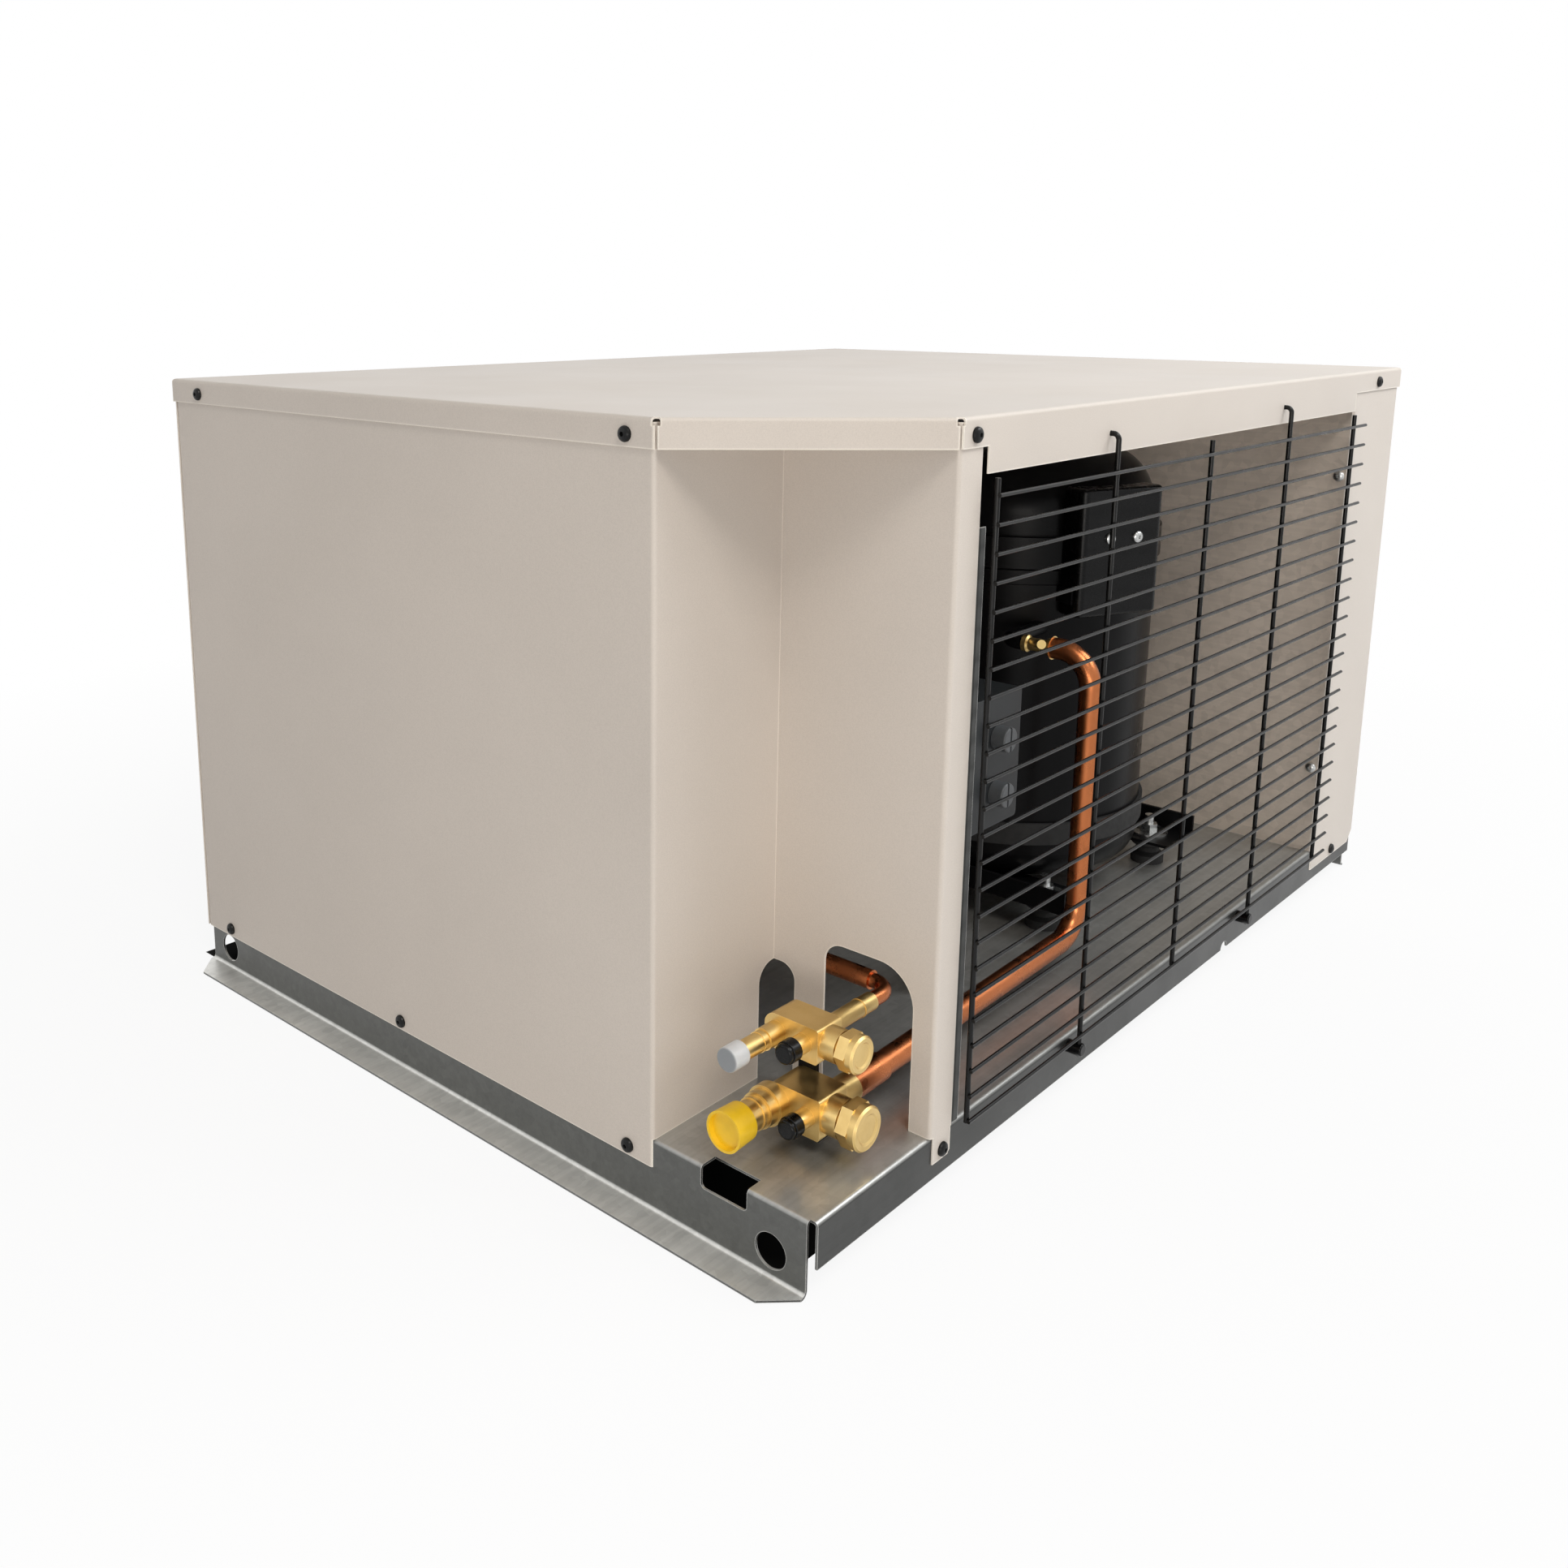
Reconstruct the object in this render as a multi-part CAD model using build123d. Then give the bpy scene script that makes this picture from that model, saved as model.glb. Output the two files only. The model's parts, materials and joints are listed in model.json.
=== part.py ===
"""Air-cooled refrigeration condensing unit in a sheet-metal casing.

X runs along the front face, Y from the front to the rear, Z up. The origin is
the centre of the casing's plan, at the height of the feet. Lengths are in
millimetres.
"""
from build123d import *
from math import cos, radians, sin
import os

os.makedirs("parts", exist_ok=True)

# ---------------------------------------------------------------- casing
casing_width = 630.0
casing_length = 862.0
casing_height = 480.0
deck_height = 47.5
panel_sheet = 1.0
base_sheet = 1.6
sheet_gap = 0.3
panel_bend = 2.5
base_bend = 3.0
chamfer_width = 120.5
chamfer_length = 114.5
lid_flange = 17.5
lid_deep_flange = 33.0
lid_relief_radius = 3.0
lid_slit = 3.0
recess_inset = 1.8
recess_setback = 1.3
panel_apron = 18.0
near_post_width = 25.0
rear_post_width = 110.0
rear_wrap = 28.0
stiffener_reach = 7.0
stiffener_height = 369.0

# ---------------------------------------------------------------- base pan
foot_reach = 21.8
foot_chamfer = 18.0
web_inset = 7.5
side_flange = 29.0
side_flange_setback = 3.2
rigging_hole_radius = 11.0
rigging_hole_inset = 32.5
rigging_hole_drop = 30.0
cable_notch_inset = 67.5
cable_notch_width = 34.5
cable_notch_depth = 13.0
cable_notch_drop = 14.0
drain_notch_radius = 6.0
drain_notch_inset = 302.0

# ---------------------------------------------------------------- fasteners
screw_radius = 1.9
screw_hole_radius = 2.1
screw_head_radius = 4.6
screw_head_height = 3.2
screw_length = 9.0
lid_screw_drop = 10.3
apron_screw_drop = 11.3
corner_screw_inset = 37.5
shroud_screw_inset = 7.5
shroud_screw_low = 79.0
shroud_screw_high = 86.7

# ---------------------------------------------------------------- wire guards
rail_wire = 3.4
cross_wire = 2.5
weld_depth = 0.4
guard_standoff = 5.5
guard_pitch = 16.7
guard_rows = 24
guard_bottom = 51.5
guard_left_lap = 2.0
guard_right_lap = 22.0
guard_rail_pitch = 146.25
guard_first_rail = 145.0
hook_drop = 20.5
hook_bend = 4.0
clip_radius = 4.6
clip_drop = 8.0
wire_clearance = 0.3

# ---------------------------------------------------------------- fan and coil
shroud_sheet = 1.2
fan_shift = -50.0
fan_lift = 1.65
fan_radius = 178.0
tip_clearance = 8.0
shroud_ring_length = 30.0
fan_blades_count = 5
hub_radius = 30.0
hub_length = 24.0
blade_sheet = 1.6
shaft_radius = 6.35
shaft_clearance = 0.08
motor_radius = 60.0
motor_length = 82.0
motor_reach = 100.5
arm_radius = 4.0
arm_reach = 205.0
coil_inset = 35.0
coil_depth = 44.0
coil_rear_inset = 57.0
coil_lift = 4.5
coil_headroom = 25.2
plate_rise = 10.0
fin_slot = 2.4
fin_count = 40
plate_sheet = 1.5
coil_tube_radius = 4.8
coil_rows = 10

# ---------------------------------------------------------------- compressor
compressor_inset = 198.0
compressor_setback = 213.5
shell_radius = 114.0
dome_radius = 110.0
lip_radius = 117.5
lip_height = 24.5
shell_bottom = 74.0
seam_height = 359.5
shell_top = 422.5
foot_pitch = 190.0
rail_length = 250.0
rail_width = 50.0
rail_sheet = 2.5
rail_lip = 18.0
grommet_radius = 14.0
stud_radius = 4.0
washer_radius = 16.0
terminal_angle = -24.0
cover_width = 78.0
cover_depth = 15.0
cover_height = 100.0
cover_bottom = 300.0
strap_sheet = 1.5
heater_bottom = 108.0
heater_height = 18.0
heater_thickness = 3.0

# ---------------------------------------------------------------- pipes
suction_radius = 8.0
liquid_radius = 4.8
discharge_radius = 6.35
wall = 1.0
port_height = 287.5
riser_inset = 54.0
riser_lead = 139.0
receiver_inset = 115.0
receiver_lead = 145.0
receiver_radius = 55.0
receiver_bottom = 64.0
receiver_top = 330.0
drier_radius = 25.0
drier_inset = 185.0
drier_length = 120.0


# ---------------------------------------------------------------- helpers
def block(x, y, z):
    """Box between two planes along each axis."""
    centre = Pos((x[0] + x[1]) / 2, (y[0] + y[1]) / 2, (z[0] + z[1]) / 2)
    return centre * Box(abs(x[1] - x[0]), abs(y[1] - y[0]), abs(z[1] - z[0]))


def rod(start, end, radius):
    """Cylinder from one point to another."""
    run = Vector(*end) - Vector(*start)
    bottom = (Align.CENTER, Align.CENTER, Align.MIN)
    return Plane(origin=start, z_dir=run) * Cylinder(radius, run.length, align=bottom)


def turned(outline, origin, direction):
    """Solid of revolution from (distance along the axis, radius) points."""
    points = [(radius, distance) for distance, radius in outline]
    face = Plane.XZ * make_face(Polyline(*points, close=True))
    return Plane(origin=origin, z_dir=direction) * revolve(face, Axis.Z)


def pipe(points, bend, radius, bore=0.0):
    """Round bar or tube along straight runs joined by tangent arcs."""
    path = FilletPolyline(*points, radius=bend) if len(points) > 2 else Line(*points)
    start = Plane(origin=path @ 0, z_dir=path % 0)
    solid = sweep(start * Circle(radius), path=path)
    if bore:
        solid -= sweep(start * Circle(bore), path=path)
    return solid


def folded(points, thickness, bend, plane, reach):
    """Sheet folded along the given outline and drawn out along the plane's normal.

    The outline is the outer face, and the sheet lies on its right-hand side.
    """
    outline = FilletPolyline(*points, radius=bend)
    section = make_face(offset(outline, -thickness, side=Side.RIGHT, kind=Kind.ARC))
    section = plane * section
    return extrude(section, amount=reach)


def joined(solids):
    """One body from several that meet."""
    solids = list(solids)
    return solids[0].fuse(*solids[1:])


def screw(seat, direction):
    """Pan-head screw whose head sits on the given point."""
    head = screw_head_radius
    rise = screw_head_height
    dome = [
        (rise * (0.3 + 0.7 * sin(radians(angle))), head * cos(radians(angle)))
        for angle in (0, 24, 44, 62)
    ]
    outline = [
        (-screw_length, 0),
        (-screw_length, screw_radius),
        (0, screw_radius),
        (0, head),
        *dome,
        (0.95 * rise, 0.3 * head),
        (0.5 * rise, 0.2 * head),
        (0.5 * rise, 0),
    ]
    return turned(outline, seat, direction)


def drilled(solid, screws):
    """Cut a clearance hole for every screw in the list."""
    for seat, direction in screws:
        run = Vector(*direction) * (screw_length + 2)
        start = Vector(*seat) - run
        end = Vector(*seat) + run
        solid -= rod(tuple(start), tuple(end), screw_hole_radius)
    return solid


def write(name, shape):
    """Save one sub-part as its own file."""
    export_step(shape, f"parts/{name}.step")


# ---------------------------------------------------------------- shared places
half_width = casing_width / 2
half_length = casing_length / 2
panel_x = half_width - panel_sheet - sheet_gap
panel_y = half_length - panel_sheet - sheet_gap
panel_top = casing_height - panel_bend - sheet_gap
base_x = panel_x - panel_sheet
base_y = panel_y - panel_sheet
deck_under = deck_height - base_sheet
recess_x = half_width - chamfer_width - recess_inset
recess_y = -half_length + chamfer_length + recess_setback
near_post_end = recess_y + near_post_width
rear_post_start = panel_y - rear_post_width
rear_opening_x = panel_x - rear_wrap
inner_panel_x = panel_x - panel_sheet - sheet_gap
apron_bottom = deck_height - panel_apron

# Where the inner pieces stand, worked out from the casing's sides.
shroud_face = rear_post_start - shroud_sheet
fan_x = fan_shift
fan_height = (deck_height + panel_top) / 2 + fan_lift
motor_front = shroud_face - motor_reach
coil_half_width = half_width - coil_inset
coil_front = half_length - coil_rear_inset
coil_bottom = deck_height + coil_lift
coil_height = panel_top - coil_bottom - coil_headroom
compressor_x = half_width - compressor_inset
compressor_y = shroud_face - compressor_setback
riser_x = half_width - riser_inset
riser_y = compressor_y - riser_lead
receiver_x = -half_width + receiver_inset
receiver_y = compressor_y - receiver_lead
drier_end = half_width - drier_inset

OUT_FRONT = (0, -1, 0)
OUT_REAR = (0, 1, 0)
OUT_RIGHT = (1, 0, 0)
OUT_LEFT = (-1, 0, 0)
UP = (0, 0, 1)

# Screws through the panels' aprons into the base pan.
apron_z = deck_height - apron_screw_drop
front_first = -half_width + corner_screw_inset
front_last = recess_x - 0.55 * corner_screw_inset
side_screw_y = half_length - 1.6 * corner_screw_inset
wrap_screw_x = panel_x - rear_wrap / 2
near_post_screw_y = recess_y + 0.54 * near_post_width
apron_screws = [
    ((front_first, -panel_y, apron_z), OUT_FRONT),
    (((front_first + front_last) / 2, -panel_y, apron_z), OUT_FRONT),
    ((front_last, -panel_y, apron_z), OUT_FRONT),
    ((panel_x, near_post_screw_y, apron_z), OUT_RIGHT),
    ((panel_x, side_screw_y, apron_z), OUT_RIGHT),
    ((-panel_x, -side_screw_y, apron_z), OUT_LEFT),
    ((-panel_x, 0, apron_z), OUT_LEFT),
    ((-panel_x, side_screw_y, apron_z), OUT_LEFT),
    ((wrap_screw_x, panel_y, apron_z), OUT_REAR),
    ((-wrap_screw_x, panel_y, apron_z), OUT_REAR),
]

# Screws through the lid's flanges into the panels.
lid_screw_z = casing_height - lid_screw_drop
lid_screws = [
    ((front_first, -half_length, lid_screw_z), OUT_FRONT),
    ((front_last, -half_length, lid_screw_z), OUT_FRONT),
    ((half_width, near_post_screw_y, lid_screw_z), OUT_RIGHT),
    ((half_width, side_screw_y, lid_screw_z), OUT_RIGHT),
    ((-half_width, -side_screw_y, lid_screw_z), OUT_LEFT),
    ((-half_width, side_screw_y, lid_screw_z), OUT_LEFT),
    ((wrap_screw_x, half_length, lid_screw_z), OUT_REAR),
    ((-wrap_screw_x, half_length, lid_screw_z), OUT_REAR),
]
casing_screws = apron_screws + lid_screws

# Screws through the fan shroud into the rear post's inner flange.
shroud_screw_x = panel_x - shroud_screw_inset
shroud_screws = [
    ((shroud_screw_x, shroud_face, z), OUT_FRONT)
    for z in (deck_height + shroud_screw_low, panel_top - shroud_screw_high)
]

# The compressor stands on four studs.
stud_spots = [
    (compressor_x + sx * foot_pitch / 2, compressor_y + sy * foot_pitch / 2)
    for sx in (-1, 1)
    for sy in (-1, 1)
]


# ---------------------------------------------------------------- base pan
def make_base_pan():
    foot_edge = base_y + foot_reach
    ends = folded(
        [
            (-foot_edge, base_sheet),
            (-base_y, base_sheet),
            (-base_y, deck_height),
            (base_y, deck_height),
            (base_y, base_sheet),
            (foot_edge, base_sheet),
        ],
        base_sheet,
        base_bend,
        Plane.YZ.offset(web_inset - half_width),
        2 * (half_width - web_inset),
    )
    flange_y = base_y - side_flange_setback
    flange_z = deck_height - side_flange
    sides = folded(
        [(-base_x, flange_z), (-base_x, deck_height), (base_x, deck_height), (base_x, flange_z)],
        base_sheet,
        base_bend,
        Plane.XZ.offset(-flange_y),
        2 * flange_y,
    )
    pan = ends + sides
    corners = [
        edge
        for edge in pan.edges().filter_by(Axis.Z)
        if abs(abs(edge.center().Y) - foot_edge) < base_sheet
    ]
    pan = chamfer(corners, foot_chamfer)
    hole_z = deck_height - rigging_hole_drop
    hole_x = half_width - rigging_hole_inset
    for x in (-hole_x, hole_x):
        pan -= rod((x, -base_y - 5, hole_z), (x, -base_y + 5, hole_z), rigging_hole_radius)
        pan -= rod((x, base_y - 5, hole_z), (x, base_y + 5, hole_z), rigging_hole_radius)
    notch_x = half_width - cable_notch_inset
    notch = block(
        (notch_x - cable_notch_width / 2, notch_x + cable_notch_width / 2),
        (-base_y - 5, -base_y + cable_notch_depth),
        (deck_height - cable_notch_drop, deck_height + 5),
    )
    pan -= fillet(notch.edges().filter_by(Axis.Y).group_by(Axis.Z)[0], base_bend)
    for side in (-1, 1):
        y = half_length - drain_notch_inset
        start = (side * (base_x - 5), y, flange_z)
        end = (side * (base_x + 5), y, flange_z)
        pan -= rod(start, end, drain_notch_radius)
    for x, y in stud_spots:
        pan -= rod((x, y, deck_under - 5), (x, y, deck_height + 5), stud_radius + 0.3)
    return drilled(pan, apron_screws)


# ---------------------------------------------------------------- lid
def make_lid():
    corners = [
        (-half_width, -half_length),
        (half_width - chamfer_width, -half_length),
        (half_width, -half_length + chamfer_length),
        (half_width, half_length),
        (-half_width, half_length),
    ]
    plan = make_face(Polyline(*corners, close=True))
    flange_z = casing_height - lid_flange
    outer = extrude(Plane.XY.offset(flange_z) * plan, lid_flange)
    outer = fillet(outer.faces().sort_by(Axis.Z)[-1].edges(), panel_bend)
    cavity = offset(plan, -panel_sheet)
    inner = extrude(Plane.XY.offset(flange_z - 1) * cavity, lid_flange + 1 - panel_sheet)
    inner = fillet(inner.faces().sort_by(Axis.Z)[-1].edges(), panel_bend - panel_sheet)
    lid = outer - inner
    deep_z = (casing_height - lid_deep_flange, flange_z)
    deep_y = (near_post_end + 2.6, rear_post_start - 3)
    lid += block((half_width - panel_sheet, half_width), deep_y, deep_z)
    deep_x = rear_opening_x - 3
    lid += block((-deep_x, deep_x), (half_length - panel_sheet, half_length), deep_z)
    for x, y in (corners[1], corners[2]):
        lid -= rod((x, y, flange_z - 5), (x, y, casing_height - panel_bend), lid_slit / 2)
        lid -= rod((x, y, casing_height - 4.5), (x, y, casing_height + 1), lid_relief_radius)
    hook_z = casing_height - hook_drop
    hook_hole = rail_wire / 2 + wire_clearance
    for y in right_hook_places:
        lid -= rod((half_width - 5, y, hook_z), (half_width + 5, y, hook_z), hook_hole)
    for x in rear_hook_places:
        lid -= rod((x, half_length - 5, hook_z), (x, half_length + 5, hook_z), hook_hole)
    return drilled(lid, lid_screws)


# ---------------------------------------------------------------- panels
left_flange = 15.0
return_slot_width = 15.0
wall_slot_width = 16.8
slot_height = 78.0
return_slot_corner = 13.5
wall_slot_corner = 11.0
pipe_opening_inset = 40.1
pipe_opening_width = 65.2
pipe_opening_height = 103.0
pipe_opening_small_corner = 13.0
pipe_opening_large_corner = 25.0
wall_lap = 14.0
inner_flange = 14.0
tab_start = 3.3
tab_end = 2.5
rear_post_chamfer = 13.0


def make_front_panel():
    outline = [
        (recess_x, recess_y),
        (recess_x, -panel_y),
        (-inner_panel_x, -panel_y),
        (-inner_panel_x, -panel_y + left_flange),
    ]
    plane = Plane.XY.offset(apron_bottom)
    panel = folded(outline, panel_sheet, panel_bend, plane, panel_top - apron_bottom)
    panel -= block(
        (-half_width, half_width),
        (-panel_y + panel_sheet, recess_y + 1),
        (apron_bottom - 1, deck_height),
    )
    slot = block(
        (recess_x - 5, recess_x + 5),
        (recess_y - return_slot_width, recess_y + 5),
        (deck_height - 1, deck_height + slot_height),
    )
    upper = slot.edges().filter_by(Axis.X).group_by(Axis.Z)[-1]
    panel -= fillet(upper.sort_by(Axis.Y)[0], return_slot_corner)
    return drilled(panel, casing_screws)


def make_valve_panel():
    outline = [
        (panel_x - inner_flange, near_post_end),
        (panel_x, near_post_end),
        (panel_x, recess_y),
        (recess_x - wall_lap, recess_y),
    ]
    plane = Plane.XY.offset(deck_height)
    panel = folded(outline, panel_sheet, panel_bend, plane, panel_top - deck_height)
    tab = block(
        (panel_x - panel_sheet, panel_x),
        (recess_y + tab_start, near_post_end - tab_end),
        (apron_bottom, deck_height),
    )
    lower = tab.edges().filter_by(Axis.X).group_by(Axis.Z)[0]
    panel += chamfer(lower.sort_by(Axis.Y)[-1], tab_end)
    slot = block(
        (recess_x - wall_lap - 1, recess_x + wall_slot_width),
        (recess_y - 5, recess_y + 5),
        (deck_height - 1, deck_height + slot_height),
    )
    upper = slot.edges().filter_by(Axis.Y).group_by(Axis.Z)[-1]
    panel -= fillet(upper.sort_by(Axis.X)[-1], wall_slot_corner)
    opening_x = recess_x + pipe_opening_inset
    opening = block(
        (opening_x, opening_x + pipe_opening_width),
        (recess_y - 5, recess_y + 5),
        (deck_height - 1, deck_height + pipe_opening_height),
    )
    upper = opening.edges().filter_by(Axis.Y).group_by(Axis.Z)[-1]
    opening = fillet(upper.sort_by(Axis.X)[0], pipe_opening_small_corner)
    upper = opening.edges().filter_by(Axis.Y).sort_by(Axis.X)[-2:].sort_by(Axis.Z)[-1]
    panel -= fillet(upper, pipe_opening_large_corner)
    return drilled(panel, casing_screws)


def make_rear_right_post():
    outline = [
        (panel_x - rear_wrap, panel_y),
        (panel_x, panel_y),
        (panel_x, rear_post_start),
        (panel_x - inner_flange, rear_post_start),
    ]
    plane = Plane.XY.offset(apron_bottom)
    post = folded(outline, panel_sheet, panel_bend, plane, panel_top - apron_bottom)
    post -= block(
        (0, panel_x - panel_sheet),
        (rear_post_start - 1, panel_y - panel_sheet),
        (apron_bottom - 1, deck_height),
    )
    corner = [
        (panel_y - rear_post_chamfer, apron_bottom - 1),
        (panel_y + 1, apron_bottom - 1),
        (panel_y + 1, apron_bottom + rear_post_chamfer),
    ]
    wedge = Plane.YZ.offset(rear_opening_x) * make_face(Polyline(*corner, close=True))
    post -= extrude(wedge, 2 * rear_wrap)
    return drilled(post, casing_screws + shroud_screws)


def make_left_panel():
    outline = [
        (-panel_x, -panel_y),
        (-panel_x, panel_y),
        (-panel_x + rear_wrap, panel_y),
    ]
    plane = Plane.XY.offset(apron_bottom)
    panel = folded(outline, panel_sheet, panel_bend, plane, panel_top - apron_bottom)
    return drilled(panel, casing_screws)


def make_post_stiffener():
    """Angle behind the near post's inner flange; one leg stands out beside it."""
    leg = 1.2
    outline = [
        (panel_x - inner_flange, near_post_end + leg),
        (base_x - leg, near_post_end + leg),
        (base_x - leg, near_post_end + stiffener_reach),
    ]
    edge = FilletPolyline(*outline, radius=leg)
    section = make_face(offset(edge, leg, side=Side.RIGHT, kind=Kind.ARC))
    return extrude(Plane.XY.offset(deck_height) * section, stiffener_height)


# ---------------------------------------------------------------- wire guards
rail_stub = 1.7
rail_rise = 9.5
hook_tuck = 11.0


def welded_guard(rails, hooked, start, end, frame):
    """Cross wires welded outside upright rails; the frame's Y points inwards."""
    guard_top = guard_bottom + (guard_rows - 1) * guard_pitch
    offset_y = -(rail_wire + cross_wire) / 2 + weld_depth
    wires = []
    for row in range(guard_rows):
        z = guard_bottom + row * guard_pitch
        wires.append(rod((start, offset_y, z), (end, offset_y, z), cross_wire / 2))
    hook_z = casing_height - hook_drop
    clip_z = deck_height - clip_drop
    for x in rails:
        if x in hooked:
            route = [(x, hook_tuck, hook_z), (x, 0, hook_z), (x, 0, clip_z - clip_radius)]
            wires.append(pipe(route, hook_bend, rail_wire / 2))
        else:
            top = guard_top + rail_rise
            wires.append(rod((x, 0, guard_bottom - rail_stub), (x, 0, top), rail_wire / 2))
    return frame * joined(wires)


def guard_clip(x, frame):
    """Push-in clip that holds a hooked rail's foot against the base pan."""
    z = deck_height - clip_drop
    seat = guard_standoff + half_width - base_x
    stem = rod((x, -rail_wire, z), (x, seat, z), clip_radius)
    stem = fillet(stem.edges().sort_by(Axis.Y)[0], 1.2)
    hole = rail_wire / 2 + wire_clearance
    stem -= rod((x, 0, z - 2 * clip_radius), (x, 0, z + 2 * clip_radius), hole)
    return frame * stem


right_first = -half_length + guard_first_rail
right_rails = [right_first + n * guard_rail_pitch for n in range(5)]
right_hook_places = (right_rails[1], right_rails[3])
right_frame = Plane(
    origin=(half_width + guard_standoff, 0, 0), x_dir=(0, 1, 0), z_dir=(0, 0, 1)
)
rear_rail_reach = rear_opening_x - 6.0
rear_rails = [rear_rail_reach * (n - 2) / 2 for n in range(5)]
rear_hook_places = (rear_rails[1], rear_rails[3])
rear_frame = Plane(
    origin=(0, half_length + guard_standoff, 0), x_dir=(-1, 0, 0), z_dir=(0, 0, 1)
)


# ---------------------------------------------------------------- fan and shroud
fan_centre_y = shroud_face + 9.0
coil_pitch = coil_height / coil_rows
coil_row_z = [coil_bottom + coil_pitch * (row + 0.5) for row in range(coil_rows)]
coil_rank_y = (coil_front + coil_depth / 4, coil_front + 3 * coil_depth / 4)
plate_outer = coil_half_width + plate_sheet
entry_x = -(plate_outer + 11.0)
condenser_drop_x = -(plate_outer + 13.0)
pipe_hole_gap = 3.0


def make_fan_shroud():
    reach = inner_panel_x - 0.2
    plate = block((-reach, reach), (shroud_face, rear_post_start), (deck_height, panel_top))
    bore = fan_radius + tip_clearance
    mouth = bore + 6
    start = (fan_x, shroud_face - 5, fan_height)
    plate -= rod(start, (fan_x, shroud_face + 5, fan_height), mouth)
    ring = turned(
        [
            (0, mouth - 1),
            (0, mouth + 0.5),
            (shroud_sheet, mouth + 0.5),
            (6, bore + shroud_sheet),
            (shroud_ring_length, bore + shroud_sheet),
            (shroud_ring_length, bore),
            (5, bore),
        ],
        (fan_x, shroud_face, fan_height),
        OUT_REAR,
    )
    flange_y = (rear_post_start, coil_front - plate_sheet)
    top = block((-coil_half_width, coil_half_width), flange_y, (panel_top - shroud_sheet, panel_top))
    floor_z = (deck_height, deck_height + shroud_sheet)
    floor = block((-coil_half_width, coil_half_width), flange_y, floor_z)
    shroud = plate + ring + top + floor
    for x, z, radius in (
        (entry_x, coil_row_z[-1], discharge_radius),
        (condenser_drop_x, coil_row_z[0], liquid_radius),
    ):
        start = (x, shroud_face - 5, z)
        shroud -= rod(start, (x, shroud_face + 5, z), radius + pipe_hole_gap)
    return drilled(shroud, shroud_screws)


def make_condenser_fins():
    x = (-coil_half_width, coil_half_width)
    y = (coil_front, coil_front + coil_depth)
    pack = block(x, y, (coil_bottom, coil_bottom + coil_height))
    pitch = 2 * coil_half_width / fin_count
    depth = coil_depth / 6
    slots = []
    for n in range(1, fin_count):
        centre = -coil_half_width + n * pitch
        edges = (centre - fin_slot / 2, centre + fin_slot / 2)
        height = (coil_bottom - 1, coil_bottom + coil_height + 1)
        slots.append(block(edges, (y[0] - 1, y[0] + depth), height))
        slots.append(block(edges, (y[1] - depth, y[1] + 1), height))
    return pack.cut(*slots)


def make_condenser_end_plates():
    plates = []
    y = (coil_front - plate_sheet, coil_front + coil_depth + plate_sheet)
    top = coil_bottom + coil_height + plate_rise
    for side in (-1, 1):
        inner = side * coil_half_width
        outer = side * plate_outer
        web = block((inner, outer), y, (deck_height, top))
        toe = block((inner, outer + side * 14), y, (deck_height, deck_height + plate_sheet))
        plates.append(web + toe)
    return Compound(plates)


def make_condenser_bends():
    front, rear = coil_rank_y
    reach = coil_tube_radius + 12
    bends = []
    for z in coil_row_z:
        route = [
            (plate_outer, front, z),
            (plate_outer + reach, front, z),
            (plate_outer + reach, rear, z),
            (plate_outer, rear, z),
        ]
        bends.append(pipe(route, 0.48 * (rear - front), coil_tube_radius))
    for row in range(coil_rows - 1):
        low, high = coil_row_z[row], coil_row_z[row + 1]
        y = rear if row % 2 == 0 else front
        route = [
            (-plate_outer, y, low),
            (-plate_outer - 1.4 * reach, y, low),
            (-plate_outer - 1.4 * reach, y, high),
            (-plate_outer, y, high),
        ]
        bends.append(pipe(route, 0.46 * (high - low), coil_tube_radius))
    return Compound(bends)


def make_fan_blades():
    """Hub with pitched blades, each lofted from a steep root to a flatter tip."""
    hub = turned(
        [
            (-hub_length / 2, shaft_radius),
            (-hub_length / 2, 0.6 * hub_radius),
            (-hub_length / 4, hub_radius),
            (hub_length / 4, hub_radius),
            (hub_length / 2, 0.6 * hub_radius),
            (hub_length / 2, shaft_radius),
        ],
        (fan_x, fan_centre_y, fan_height),
        OUT_REAR,
    )
    stations = [
        (0.8 * hub_radius, 44.0, 42.0),
        (0.55 * fan_radius, 92.0, 30.0),
        (fan_radius, 128.0, 22.0),
    ]
    sections = []
    for radius, chord, pitch in stations:
        plane = Plane(origin=(0, 0, radius), x_dir=(1, 0, 0), z_dir=(0, 0, 1))
        sections.append(plane * Rot(0, 0, pitch) * Rectangle(chord, blade_sheet))
    blade = loft(sections)
    blade &= rod((0, -60, 0), (0, 60, 0), fan_radius)
    place = Pos(fan_x, fan_centre_y, fan_height)
    turns = [360 * n / fan_blades_count for n in range(fan_blades_count)]
    return joined([hub] + [place * Rot(0, turn, 0) * blade for turn in turns])


shaft_front = motor_front + 12.0
shaft_end = fan_centre_y + hub_length / 2 + 4.0


def make_motor_shaft():
    front = (fan_x, shaft_front, fan_height)
    shaft = rod(front, (fan_x, shaft_end, fan_height), shaft_radius)
    return chamfer(shaft.edges().sort_by(Axis.Y)[-1], 1.0)


def make_fan_motor():
    radius = motor_radius
    outline = [
        (0, 0),
        (0, 0.55 * radius),
        (6, 0.92 * radius),
        (14, radius),
        (motor_length - 16, radius),
        (motor_length - 8, 0.9 * radius),
        (motor_length - 4, 0.4 * radius),
        (motor_length, 0.3 * radius),
        (motor_length, 0),
    ]
    motor = turned(outline, (fan_x, motor_front, fan_height), OUT_REAR)
    bore = shaft_radius + shaft_clearance
    start = (fan_x, shaft_front - 1, fan_height)
    return motor - rod(start, (fan_x, motor_front + motor_length + 5, fan_height), bore)


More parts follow.
